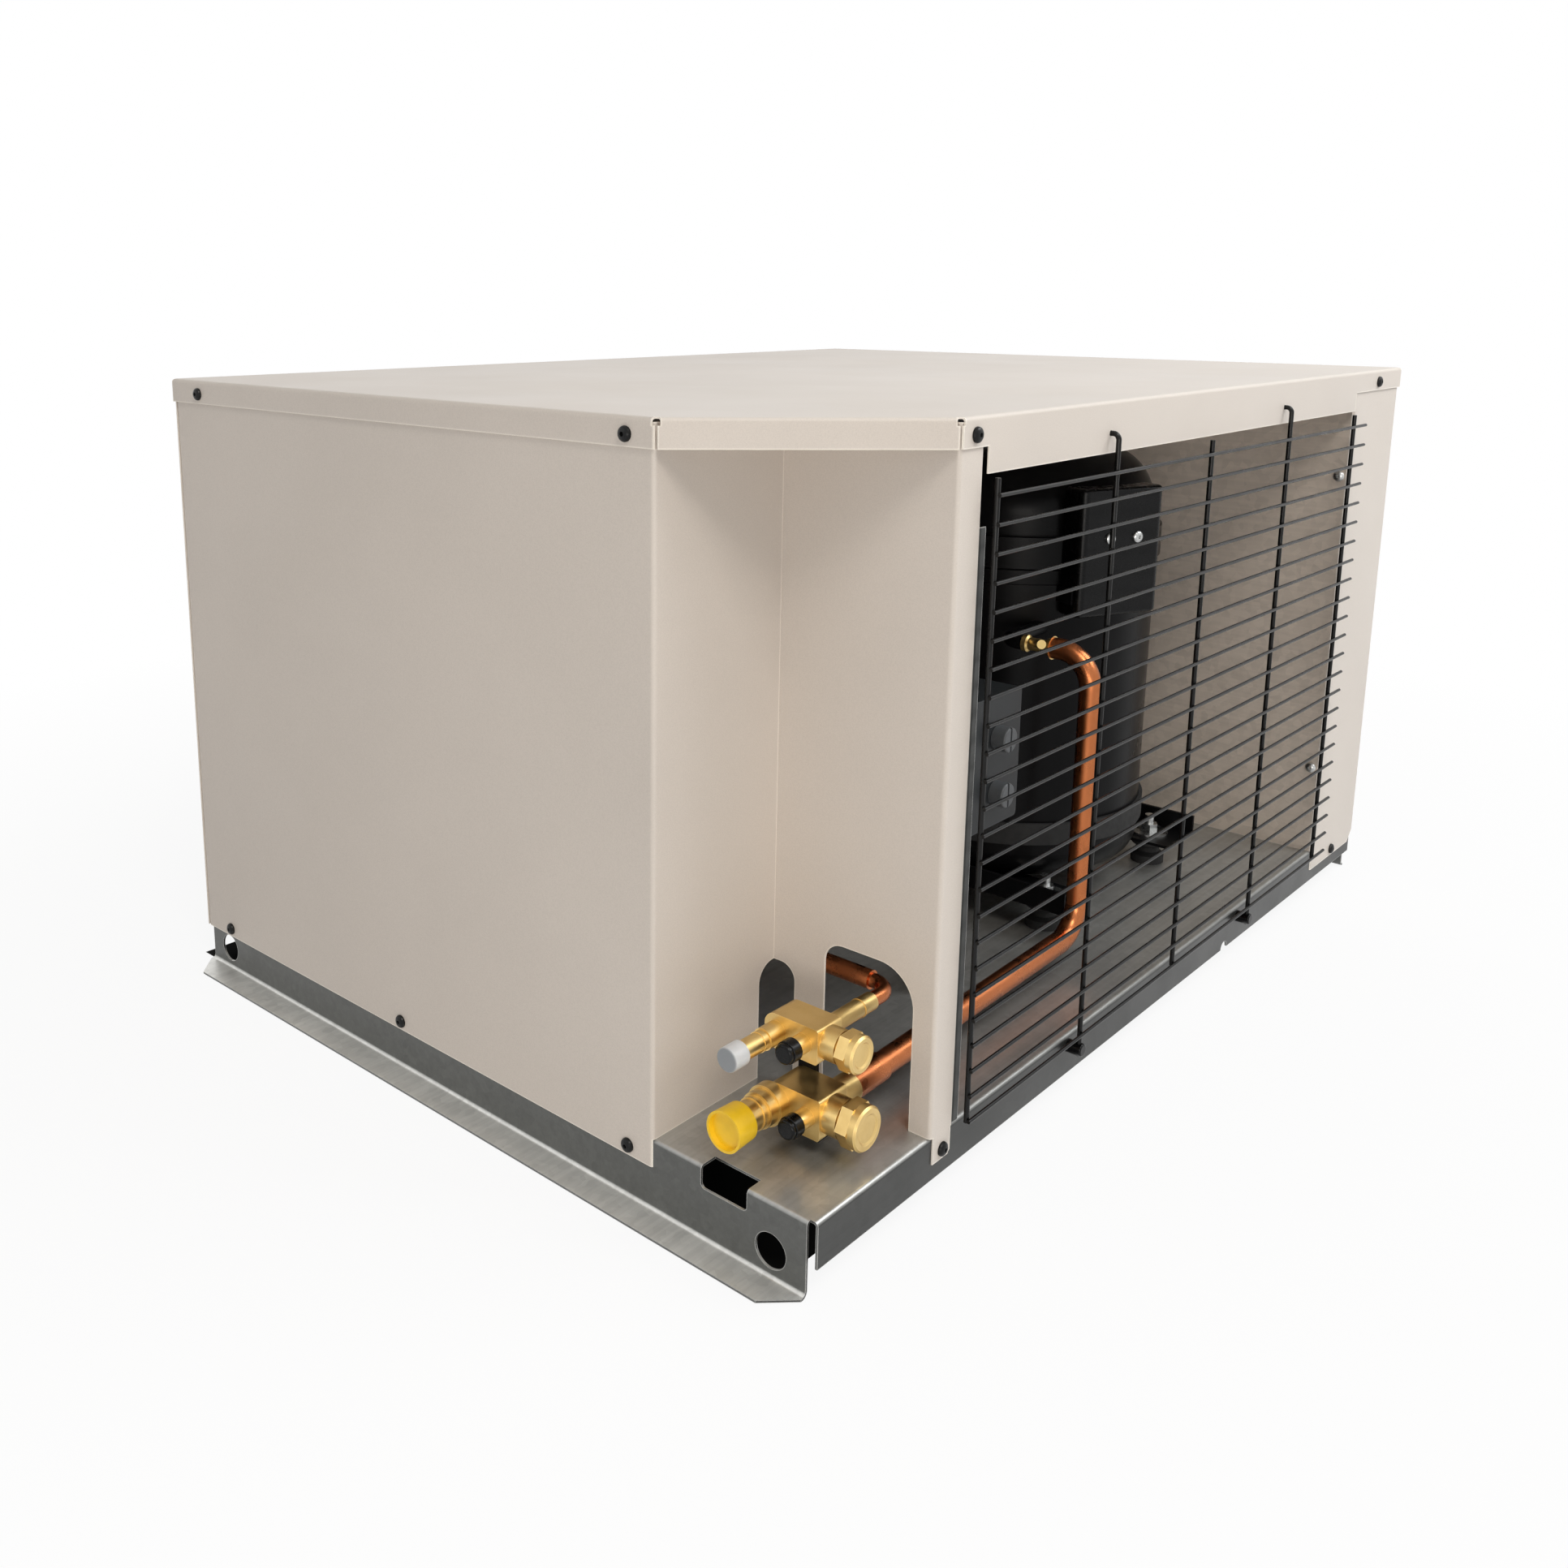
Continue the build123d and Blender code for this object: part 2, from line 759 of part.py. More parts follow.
def make_motor_bracket():
    """Clamp ring round the motor with four arms to the shroud's front face."""
    ring_y = motor_front + motor_length - 30
    thickness = 2.5
    ring = turned(
        [
            (0, motor_radius),
            (0, motor_radius + thickness),
            (14, motor_radius + thickness),
            (14, motor_radius),
        ],
        (fan_x, ring_y, fan_height),
        OUT_REAR,
    )
    pieces = [ring]
    for n in range(4):
        turn = Pos(fan_x, 0, fan_height) * Rot(0, 45 + 90 * n, 0)
        arm_y = ring_y + 7
        route = [
            (motor_radius + thickness / 2, arm_y, 0),
            (arm_reach, arm_y, 0),
            (arm_reach, shroud_face, 0),
        ]
        arm = pipe(route, 14, arm_radius)
        pad = rod((arm_reach, shroud_face - 2, 0), (arm_reach, shroud_face, 0), 9)
        pieces.append(turn * (arm + pad))
    return joined(pieces)


# ---------------------------------------------------------------- compressor
shell_fillet = 24.0
dome_fillet = 46.0
discharge_height = 285.0
suction_stub_x = riser_x - 71.0
stub_radius = 5.6
adapter_start = riser_x - 55.0
adapter_end = riser_x - 31.0
rail_top = shell_bottom
rail_under = rail_top - rail_sheet
compressor_frame = Pos(compressor_x, compressor_y, 0)
cover_frame = compressor_frame * Rot(0, 0, terminal_angle)
strap_z = (cover_bottom + 10, cover_bottom + 22)
cover_seat = lip_radius + sheet_gap
cover_front = cover_seat + cover_depth


def shell_core(radius):
    """Plain cylinder the size of the shell, for trimming parts that meet it."""
    foot = (compressor_x, compressor_y, deck_height)
    return rod(foot, (compressor_x, compressor_y, seam_height), radius)


def make_lower_shell():
    lip_start = seam_height - lip_height - shell_bottom
    outline = [
        (0, 0),
        (0, shell_radius),
        (lip_start - 2, shell_radius),
        (lip_start, lip_radius),
        (seam_height - shell_bottom, lip_radius),
        (seam_height - shell_bottom, 0),
    ]
    shell = turned(outline, (compressor_x, compressor_y, shell_bottom), UP)
    return fillet(shell.edges().sort_by(Axis.Z)[0], shell_fillet)


def make_upper_shell():
    seam = (compressor_x, compressor_y, seam_height)
    dome = rod(seam, (compressor_x, compressor_y, shell_top), dome_radius)
    return fillet(dome.edges().sort_by(Axis.Z)[-1], dome_fillet)


def make_compressor_feet():
    rails = []
    reach = rail_length / 2
    for side in (-1, 1):
        middle = compressor_y + side * foot_pitch / 2
        outer = middle + side * rail_width / 2
        x = (compressor_x - reach, compressor_x + reach)
        plate = block(x, (middle - side * rail_width / 2, outer), (rail_under, rail_top))
        lip = block(x, (outer - side * rail_sheet, outer), (rail_under, rail_under + rail_lip))
        rail = plate + lip
        for stud_x, stud_y in stud_spots:
            start = (stud_x, stud_y, rail_under - 1)
            rail -= rod(start, (stud_x, stud_y, rail_top + 1), stud_radius + 0.3)
        rails.append(rail)
    return Compound(rails)


def make_mounting_grommets():
    height = rail_under - deck_height
    waist = 0.72 * grommet_radius
    bore = stud_radius + 0.3
    outline = [
        (0, bore),
        (0, grommet_radius),
        (0.3 * height, grommet_radius),
        (0.42 * height, waist),
        (0.58 * height, waist),
        (0.7 * height, grommet_radius),
        (height, grommet_radius),
        (height, bore),
    ]
    return Compound([turned(outline, (x, y, deck_height), UP) for x, y in stud_spots])


def make_mounting_bolts():
    bolts = []
    for x, y in stud_spots:
        stud = rod((x, y, deck_under - 4), (x, y, rail_top + 16), stud_radius)
        head = Pos(x, y, deck_under - 2.5) * extrude(RegularPolygon(8, 6), 2.5)
        washer = rod((x, y, rail_top), (x, y, rail_top + 1.6), washer_radius)
        nut = Pos(x, y, rail_top + 1.6) * extrude(RegularPolygon(7.5, 6), 6.5)
        bolts.append(joined([stud, head, washer, nut]))
    return Compound(bolts)


def make_terminal_cover():
    half = cover_width / 2
    z = (cover_bottom, cover_bottom + cover_height)
    box = block((cover_seat - 25, cover_front), (-half, half), z)
    box = fillet(box.edges().filter_by(Axis.Z).group_by(Axis.X)[-1], 6)
    box = fillet(box.faces().sort_by(Axis.X)[-1].edges().filter_by(Axis.Y), 3)
    core = rod((0, 0, z[0] - 1), (0, 0, z[1] + 1), cover_seat)
    box -= core
    hole_x = cover_front - 0.5 * cover_depth
    box -= rod((hole_x, 0, z[0] - 1), (hole_x, 0, z[0] + 12), cable_radius)
    for seat, direction in cover_screw_places:
        run = Vector(*direction) * (screw_length + 1)
        box -= rod(tuple(Vector(*seat) - run), seat, screw_radius)
    return cover_frame * box


def make_cover_strap():
    """Band round the shell below the lip with an ear on each side of the cover."""
    inner = shell_radius + sheet_gap
    outer = inner + strap_sheet
    band = turned(
        [
            (0, inner),
            (0, outer),
            (strap_z[1] - strap_z[0], outer),
            (strap_z[1] - strap_z[0], inner),
        ],
        (0, 0, strap_z[0]),
        UP,
    )
    half = cover_width / 2
    for side in (-1, 1):
        y = (side * half, side * (half + strap_sheet))
        ear = block((outer - 8, cover_seat + 0.6 * cover_depth), y, strap_z)
        band += ear - rod((0, 0, strap_z[0] - 1), (0, 0, strap_z[1] + 1), inner)
    return cover_frame * band


cable_radius = 5.0
cover_screw_places = [((cover_front, y, cover_bottom + 61), OUT_RIGHT) for y in (-12, 14)]


def make_cover_screws():
    return [cover_frame * screw(seat, direction) for seat, direction in cover_screw_places]


def make_crankcase_heater():
    inner = shell_radius + sheet_gap
    outer = inner + heater_thickness
    band = turned(
        [(0, inner), (0, outer), (heater_height, outer), (heater_height, inner)],
        (0, 0, heater_bottom),
        UP,
    )
    band -= block((-8, 8), (outer + 5, 0), (heater_bottom - 1, heater_bottom + heater_height + 1))
    clasp = block((8, 12), (inner + 1, outer + 12), (heater_bottom, heater_bottom + heater_height))
    other = block((-12, -8), (inner + 1, outer + 12), (heater_bottom, heater_bottom + heater_height))
    middle = heater_bottom + heater_height / 2
    bolt = rod((-12, outer + 6, middle), (12, outer + 6, middle), 2.5)
    return compressor_frame * joined([band, clasp, other, bolt])


def make_compressor_stubs():
    core = shell_core(shell_radius)
    suction = pipe(
        [
            (suction_stub_x, compressor_y - 70, port_height),
            (suction_stub_x, riser_y, port_height),
            (adapter_start, riser_y, port_height),
        ],
        12,
        stub_radius,
    )
    start = (compressor_x - shell_radius + 12, compressor_y, discharge_height)
    end = (compressor_x - shell_radius - 25, compressor_y, discharge_height)
    discharge = rod(start, end, discharge_radius + wall)
    return Compound([suction - core, discharge - core])


def make_suction_adapter():
    """Slender brass fitting on the suction stub with a capped access tube beside it."""
    length = adapter_end - adapter_start
    waist = 0.62 * suction_radius
    outline = [
        (0, 0),
        (0, waist + 1.5),
        (0.15 * length, waist + 1.5),
        (0.2 * length, waist),
        (0.75 * length, waist),
        (length, suction_radius + 0.8),
        (length, 0),
    ]
    body = turned(outline, (adapter_start, riser_y, port_height), OUT_RIGHT)
    start = Vector(adapter_start + 0.35 * length, riser_y - 3, port_height + 2.5)
    run = Vector(14, -14, 3)
    tube = rod(tuple(start), tuple(start + run), 2.6)
    cap = rod(tuple(start + run * 0.6), tuple(start + run * 1.1), 3.4)
    return joined([body, tube, cap])


# ---------------------------------------------------------------- pipework
suction_valve_x = half_width - 49.0
liquid_tube_x = half_width - 50.5
suction_valve_z = deck_height + 23.8
liquid_valve_z = deck_height + 71.8
suction_joint_y = recess_y - 16.8
bell_radius = suction_radius + 1.2
bell_length = 32.0
liquid_joint_y = recess_y + 4.8
drier_y = recess_y + 28.7
sleeve_radius = 6.3
liquid_riser_x = receiver_x + 80.0
receiver_port_z = receiver_top + 12.0
receiver_inlet_z = receiver_top - 40.0
condenser_front_y = coil_rank_y[0]


def make_suction_line():
    line = pipe(
        [
            (suction_valve_x, suction_joint_y, suction_valve_z),
            (riser_x, riser_y, suction_valve_z),
            (riser_x, riser_y, port_height),
            (adapter_end, riser_y, port_height),
        ],
        26,
        suction_radius,
    )
    start = (suction_valve_x, suction_joint_y, suction_valve_z)
    end = (suction_valve_x - 0.5, suction_joint_y + bell_length, suction_valve_z)
    line += rod(start, end, bell_radius)
    reach = 2 * bell_radius
    beyond = block(
        (suction_valve_x - reach, suction_valve_x + reach),
        (suction_joint_y - 5, suction_joint_y),
        (suction_valve_z - reach, suction_valve_z + reach),
    )
    return line - beyond


def make_discharge_line():
    start_x = compressor_x - shell_radius - 25
    top = coil_row_z[-1]
    rise_x = receiver_x + 70
    return pipe(
        [
            (start_x, compressor_y, discharge_height),
            (rise_x, compressor_y, discharge_height),
            (rise_x, compressor_y, top),
            (entry_x, compressor_y, top),
            (entry_x, condenser_front_y, top),
            (-plate_outer, condenser_front_y, top),
        ],
        10.5,
        discharge_radius,
    )


def make_condenser_line():
    low = coil_row_z[0]
    line = pipe(
        [
            (-plate_outer, condenser_front_y, low),
            (condenser_drop_x, condenser_front_y, low),
            (condenser_drop_x, receiver_y, low),
            (condenser_drop_x, receiver_y, receiver_inlet_z),
            (receiver_x - 0.8 * receiver_radius, receiver_y, receiver_inlet_z),
        ],
        12,
        liquid_radius,
    )
    foot = (receiver_x, receiver_y, receiver_bottom)
    return line - rod(foot, (receiver_x, receiver_y, receiver_top), receiver_radius)


def make_liquid_line():
    line = pipe(
        [
            (liquid_tube_x, liquid_joint_y, liquid_valve_z),
            (liquid_tube_x, drier_y, liquid_valve_z),
            (drier_end, drier_y, liquid_valve_z),
        ],
        14,
        liquid_radius,
    )
    sleeve_start = (liquid_tube_x - 15.5, drier_y, liquid_valve_z)
    return line + rod(sleeve_start, (drier_end + 5, drier_y, liquid_valve_z), sleeve_radius)


def make_receiver_line():
    return pipe(
        [
            (drier_end - drier_length, drier_y, liquid_valve_z),
            (liquid_riser_x, drier_y, liquid_valve_z),
            (liquid_riser_x, receiver_y, liquid_valve_z),
            (liquid_riser_x, receiver_y, receiver_port_z),
            (receiver_x + 26, receiver_y, receiver_port_z),
        ],
        20,
        liquid_radius,
    )


def make_filter_drier():
    neck = liquid_radius + 2.2
    outline = [
        (0, 0),
        (0, neck),
        (12, neck),
        (14, 0.6 * drier_radius),
        (26, drier_radius),
        (drier_length - 26, drier_radius),
        (drier_length - 14, 0.6 * drier_radius),
        (drier_length - 12, neck),
        (drier_length, neck),
        (drier_length, 0),
    ]
    return turned(outline, (drier_end, drier_y, liquid_valve_z), OUT_LEFT)


clamp_x = drier_end - drier_length / 2
clamp_half = 10.0
clamp_sheet = 1.5


def make_drier_clamp():
    inner = drier_radius + sheet_gap
    outer = inner + clamp_sheet
    band = turned(
        [(0, inner), (0, outer), (2 * clamp_half, outer), (2 * clamp_half, inner)],
        (clamp_x - clamp_half, drier_y, liquid_valve_z),
        OUT_RIGHT,
    )
    x = (clamp_x - clamp_half, clamp_x + clamp_half)
    y = (drier_y - clamp_sheet / 2, drier_y + clamp_sheet / 2)
    leg = block(x, y, (deck_height, liquid_valve_z - inner - 0.5))
    foot = block(x, (y[0] - 22, y[1]), (deck_height, deck_height + clamp_sheet))
    clamp = joined([band, leg, foot])
    return drilled(clamp, foot_screws)


def make_receiver():
    tank = rod(
        (receiver_x, receiver_y, receiver_bottom),
        (receiver_x, receiver_y, receiver_top),
        receiver_radius,
    )
    ends = tank.edges().filter_by(GeomType.CIRCLE)
    return fillet(ends, 24)


def make_receiver_stand():
    height = receiver_bottom - deck_height
    outline = [(0, 0), (0, 52), (2.5, 52), (2.5, 29), (height, 29), (height, 0)]
    return turned(outline, (receiver_x, receiver_y, deck_height), UP)


def make_receiver_valve():
    """Angle valve standing on the receiver, with its spindle under a hex cap."""
    rise = receiver_port_z - receiver_top
    body = turned(
        [(0, 0), (0, 10), (rise + 9, 10), (rise + 9, 13), (rise + 24, 13), (rise + 24, 0)],
        (receiver_x, receiver_y, receiver_top),
        UP,
    )
    start = (receiver_x, receiver_y, receiver_port_z)
    end = (receiver_x + 26, receiver_y, receiver_port_z)
    return body + rod(start, end, liquid_radius + 2.4)


# ---------------------------------------------------------------- service valves
# Each valve: where its axis lies, how big its block is and how far its parts reach.
suction_valve = {
    "y": -half_length + 67.5,
    "z": suction_valve_z,
    "block_x": (half_width - 80.5, half_width - 38.5),
    "half_depth": 13.5,
    "half_height": 13.0,
    "corner": 12.5,
    "line_x": half_width - 73.0,
    "line_radius": 9.5,
    "line_end": -half_length + 13.5,
    "line_bore": 8.0,
    "collar": 12.8,
    "collar_length": 8.0,
    "step": 11.3,
    "step_length": 7.0,
    "bead": 10.3,
    "port_x": half_width - 48.0,
    "port_end": -half_length + 33.7,
    "neck_collar": 12.5,
    "neck": 10.5,
    "neck_steps": (half_width - 28.5, half_width - 21.0),
    "cap_end": half_width - 13.5,
    "cap_flats": 26.0,
    "cap_round": 13.9,
    "tail_x": suction_valve_x,
    "tail": 9.5,
    "tail_end": suction_joint_y,
    "tail_ring": 0.0,
}
liquid_valve = {
    "y": -half_length + 62.5,
    "z": liquid_valve_z,
    "block_x": (half_width - 78.0, half_width - 39.0),
    "half_depth": 11.5,
    "half_height": 11.0,
    "corner": 8.0,
    "line_x": half_width - 69.0,
    "line_radius": 6.0,
    "line_end": -half_length + 10.0,
    "line_bore": 4.85,
    "collar": 6.9,
    "collar_length": 12.0,
    "step": 6.9,
    "step_length": 1.0,
    "bead": 6.4,
    "port_x": half_width - 49.5,
    "port_end": -half_length + 31.7,
    "neck_collar": 10.4,
    "neck": 8.6,
    "neck_steps": (half_width - 29.0, half_width - 22.5),
    "cap_end": half_width - 15.4,
    "cap_flats": 21.4,
    "cap_round": 11.5,
    "tail_x": liquid_tube_x,
    "tail": 5.8,
    "tail_end": liquid_joint_y,
    "tail_ring": 6.2,
}
stem_radius = 4.5
stem_clearance = 0.06
stem_square = 6.0
stem_depth = 14.0
line_bore_depth = 20.0
port_radius = 4.6
port_foot_radius = 5.9
port_cap_radius = 6.9
port_cap_front = 6.2
port_cap_length = 10.0
bead_width = 1.2
thread_clearance = 0.2
cap_groove = 1.5
cap_edge = 1.2
cap_dish = 0.8
cap_wall = 2.5


def make_valve_body(valve):
    y, z = valve["y"], valve["z"]
    front = y - valve["half_depth"]
    rear = y + valve["half_depth"]
    height = (z - valve["half_height"], z + valve["half_height"])
    body = block(valve["block_x"], (front, rear), height)
    body = fillet(body.edges().filter_by(Axis.Y).group_by(Axis.X)[0], valve["corner"])
    body = fillet(body.edges().filter_by(Axis.Y).group_by(Axis.X)[-1], 2)
    line_x = valve["line_x"]
    collar_y = front - valve["collar_length"]
    collar = rod((line_x, collar_y, z), (line_x, front, z), valve["collar"])
    step_y = collar_y - valve["step_length"]
    step = rod((line_x, step_y, z), (line_x, front, z), valve["step"])
    bead_y = step_y - 3 * bead_width
    bead = rod((line_x, bead_y - bead_width, z), (line_x, bead_y, z), valve["bead"])
    line = rod((line_x, valve["line_end"], z), (line_x, front, z), valve["line_radius"])
    port_x = valve["port_x"]
    nipple_end = valve["port_end"] + 3
    foot_y = valve["port_end"] + port_cap_length + sheet_gap
    port_foot = rod((port_x, foot_y, z), (port_x, front, z), port_foot_radius)
    nipple = rod((port_x, nipple_end, z), (port_x, front, z), port_radius)
    face = valve["block_x"][1]
    first, last = valve["neck_steps"]
    flange = rod((face, y, z), (first, y, z), valve["neck_collar"])
    neck = rod((first, y, z), (last, y, z), valve["neck"])
    tail_x = valve["tail_x"]
    tail = rod((tail_x, rear, z), (tail_x, valve["tail_end"], z), valve["tail"])
    body = joined([body, collar, step, bead, line, port_foot, nipple, flange, neck, tail])
    if valve["tail_ring"]:
        ring_y = valve["tail_end"] - 12
        body += rod((tail_x, ring_y - bead_width, z), (tail_x, ring_y, z), valve["tail_ring"])
    start = (line_x, valve["line_end"] - 1, z)
    body -= rod(start, (line_x, valve["line_end"] + line_bore_depth, z), valve["line_bore"])
    bore = stem_radius + stem_clearance
    return body - rod((last - stem_depth - 1, y, z), (last + 1, y, z), bore)


def make_valve_stem(valve):
    y, z = valve["y"], valve["z"]
    last = valve["neck_steps"][1]
    end = valve["cap_end"] - 2 * cap_wall
    shank = rod((last - stem_depth, y, z), (last, y, z), stem_radius)
    half = stem_square / 2
    return shank + block((last, end), (y - half, y + half), (z - half, z + half))


def make_stem_cap(valve):
    y, z = valve["y"], valve["z"]
    first, last = valve["neck_steps"]
    start = first + cap_groove
    end = valve["cap_end"]
    hexagon = RegularPolygon(valve["cap_flats"] / 2, 6, major_radius=False)
    plane = Plane(origin=(start, y, z), x_dir=(0, 1, 0), z_dir=(1, 0, 0))
    shoulder = 0.58 * (end - start)
    cap = extrude(plane * hexagon, shoulder)
    radius = valve["cap_round"]
    crown = end - start - shoulder
    cap += turned(
        [
            (0, 0),
            (0, radius),
            (crown - cap_edge, radius),
            (crown, radius - cap_edge),
            (crown, 0.7 * radius),
            (crown - cap_dish, 0.6 * radius),
            (crown - cap_dish, 0),
        ],
        (start + shoulder, y, z),
        OUT_RIGHT,
    )
    bore = valve["neck"] + thread_clearance
    cap -= rod((start - 1, y, z), (last + thread_clearance, y, z), bore)
    return cap - rod((last, y, z), (end - cap_wall, y, z), 0.75 * valve["neck"])


def make_port_cap(valve):
    x, z = valve["port_x"], valve["z"]
    end = valve["port_end"]
    start = end + port_cap_length
    skirt = rod((x, end + 0.3 * port_cap_length, z), (x, start, z), port_cap_radius)
    skirt = fillet(skirt.edges().sort_by(Axis.Y)[0], 0.6)
    front = rod((x, end, z), (x, start, z), port_cap_front)
    front = fillet(front.edges().sort_by(Axis.Y)[0], 1.6)
    bore = port_radius + thread_clearance
    return skirt + front - rod((x, end + cap_wall, z), (x, start + 1, z), bore)


line_cap_grip = 11.1


def make_suction_line_cap():
    """Soft tapered cap pushed over the line connection, dished at the front."""
    floor = line_cap_grip + sheet_gap
    dish = floor + 2.0
    length = 16.5
    bore = suction_valve["line_radius"] + sheet_gap
    outline = [
        (0, 12.0),
        (length, 12.8),
        (length, 11.2),
        (dish, 10.4),
        (dish, 0),
        (floor, 0),
        (floor, bore),
        (0, bore),
    ]
    x, z = suction_valve["line_x"], suction_valve["z"]
    return turned(outline, (x, suction_valve["line_end"] + line_cap_grip, z), OUT_FRONT)


def make_liquid_line_cap():
    x, z = liquid_valve["line_x"], liquid_valve["z"]
    end = liquid_valve["line_end"]
    rear = end + 7.5
    cap = rod((x, end - 5.0, z), (x, rear, z), 7.45)
    cap = fillet(cap.edges().sort_by(Axis.Y)[0], 1.4)
    bore = liquid_valve["line_radius"] + sheet_gap
    return cap - rod((x, end - sheet_gap, z), (x, rear + 1, z), bore)


bracket_x = (half_width - 75.0, half_width - 61.0)
bracket_y = suction_valve["y"] + suction_valve["half_depth"]
bracket_sheet = 2.5
shelf_end = half_width - 41.0


def make_valve_bracket():
    """Strap from the deck that carries both valves."""
    liquid_rear = liquid_valve["y"] + liquid_valve["half_depth"]
    top = liquid_valve["z"] + 8
    upright = block(bracket_x, (bracket_y, bracket_y + bracket_sheet), (deck_height, top))
    shelf_top = suction_valve["z"] - suction_valve["half_height"]
    shelf_y = (bracket_y - 24, bracket_y + bracket_sheet)
    shelf_under = shelf_top - bracket_sheet
    shelf = block((bracket_x[0], shelf_end), shelf_y, (shelf_under, shelf_top))
    pedestal_x = (shelf_end - 16, shelf_end)
    pedestal_y = (bracket_y - 22, bracket_y - 8)
    pedestal = block(pedestal_x, pedestal_y, (deck_height, shelf_under))
    suction_top = suction_valve["z"] + suction_valve["half_height"]
    liquid_under = liquid_valve["z"] - liquid_valve["half_height"]
    spacer_x = (bracket_x[1] - 4, shelf_end - 4.5)
    spacer = block(spacer_x, (bracket_y - 12, bracket_y), (suction_top, liquid_under))
    pad_z = (liquid_valve["z"] - 8, top)
    pad = block(bracket_x, (liquid_rear, bracket_y), pad_z)
    foot_y = (bracket_y, bracket_y + 25)
    foot = block(bracket_x, foot_y, (deck_height, deck_height + clamp_sheet))
    pieces = [upright, shelf, pedestal, spacer, pad, foot]
    return drilled(joined(pieces), foot_screws)


# ---------------------------------------------------------------- electrical
box_x = (-inner_panel_x, -half_width + 91.0)
box_y = (-half_length + 26.0, -half_length + 216.0)
box_z = (panel_top - 227.2, panel_top - 37.2)
cover_sheet = 1.0
contactor_size = (52.0, 60.0, 80.0)
capacitor_radius = 20.0
control_x = (half_width - 110.0, half_width - 70.0)
control_y = (recess_y + 146.2, recess_y + 209.2)
control_z = (deck_height + 133.0, deck_height + 228.0)
knob_heights = (control_z[0] + 24.5, control_z[1] - 30.5)
control_middle = (control_y[0] + control_y[1]) / 2
knob_radius = 9.0
knob_shaft = 3.0
knob_clearance = 0.06
foot_screw_inset = 12.0
foot_screws = [
    (((bracket_x[0] + bracket_x[1]) / 2, bracket_y + 15.0, deck_height + clamp_sheet), UP),
    ((clamp_x, drier_y - foot_screw_inset, deck_height + clamp_sheet), UP),
    ((control_x[0] + foot_screw_inset, control_middle, deck_height + clamp_sheet), UP),
]


def make_control_box():
    case = block(box_x, box_y, box_z)
    inside = block(
        (box_x[0] + cover_sheet, box_x[1] + 1),
        (box_y[0] + cover_sheet, box_y[1] - cover_sheet),
        (box_z[0] + cover_sheet, box_z[1] - cover_sheet),
    )
    return case - inside


def make_control_box_cover():
    gap = sheet_gap
    lid = block(
        (box_x[1], box_x[1] + cover_sheet),
        (box_y[0] - cover_sheet - gap, box_y[1] + cover_sheet + gap),
        (box_z[0] - cover_sheet - gap, box_z[1] + cover_sheet + gap),
    )
    skirt = block(
        (box_x[1] - 12, box_x[1]),
        (box_y[0] - cover_sheet - gap, box_y[1] + cover_sheet + gap),
        (box_z[0] - cover_sheet - gap, box_z[1] + cover_sheet + gap),
    )
    skirt -= block(
        (box_x[1] - 13, box_x[1] + 1),
        (box_y[0] - gap, box_y[1] + gap),
        (box_z[0] - gap, box_z[1] + gap),
    )
    return lid + skirt


def make_contactor():
    depth, width, height = contactor_size
    back = box_x[0] + cover_sheet
    y = (box_y[0] + 20, box_y[0] + 20 + width)
    z = (box_z[0] + 60, box_z[0] + 60 + height)
    base = block((back, back + 0.45 * depth), y, z)
    top = block((back + 0.45 * depth, back + depth), y, (z[0] + 18, z[1] - 18))
    terminals = []
    for n in range(3):
        middle = y[0] + width * (n + 0.5) / 3
        for low in (z[0] + 4, z[1] - 14):
            x = (back + 0.45 * depth, back + 0.62 * depth)
            terminals.append(block(x, (middle - 6, middle + 6), (low, low + 10)))
    return joined([base, top] + terminals)


def make_capacitors():
    back = box_x[0] + cover_sheet + capacitor_radius
    cans = []
    for n in range(2):
        y = box_y[1] - 30 - n * (2 * capacitor_radius + 6)
        low = box_z[0] + cover_sheet
        can = rod((back, y, low), (back, y, low + 95), capacitor_radius)
        can = fillet(can.edges().sort_by(Axis.Z)[-1], 2.5)
        tabs = [
            block((back + dx - 3, back + dx + 3), (y - 0.4, y + 0.4), (low + 94, low + 104))
            for dx in (-8, 8)
        ]
        cans.append(joined([can] + tabs))
    return Compound(cans)


def make_pressure_control():
    case = block(control_x, control_y, control_z)
    case = fillet(case.edges().filter_by(Axis.X), 3)
    for z in knob_heights:
        start = (control_x[1] - 10, control_middle, z)
        case -= rod(start, (control_x[1] + 1, control_middle, z), knob_shaft + knob_clearance)
    return case


def make_control_knob(z):
    face = control_x[1]
    shaft = rod((face - 9, control_middle, z), (face + 2, control_middle, z), knob_shaft)
    grip_start = (face + sheet_gap, control_middle, z)
    grip = rod(grip_start, (face + 11, control_middle, z), knob_radius)
    grip = fillet(grip.edges().sort_by(Axis.X)[-1], 1.5)
    slot_y = (control_middle - 1, control_middle + 1)
    slot = block((face + 9.5, face + 12), slot_y, (z - 12, z + 12))
    return shaft + grip - slot


def make_control_bracket():
    sheet = clamp_sheet
    x = (control_x[0] - sheet, control_x[0])
    y = (control_y[0] + 8, control_y[1] - 8)
    upright = block(x, y, (deck_height, control_z[1] - 10))
    foot = block((x[0], control_x[0] + 26), y, (deck_height, deck_height + sheet))
    return drilled(joined([upright, foot]), foot_screws)


# ---------------------------------------------------------------- files
write("base_pan", drilled(make_base_pan(), foot_screws))
write("lid", make_lid())
write("front_panel", make_front_panel())
write("valve_panel", make_valve_panel())
write("left_panel", make_left_panel())
write("rear_right_post", make_rear_right_post())
write("post_stiffener", make_post_stiffener())
write("casing_screws", Compound([screw(*place) for place in casing_screws]))
bracket_screws = [screw(*place) for place in shroud_screws + foot_screws]
write("bracket_screws", Compound(bracket_screws + make_cover_screws()))

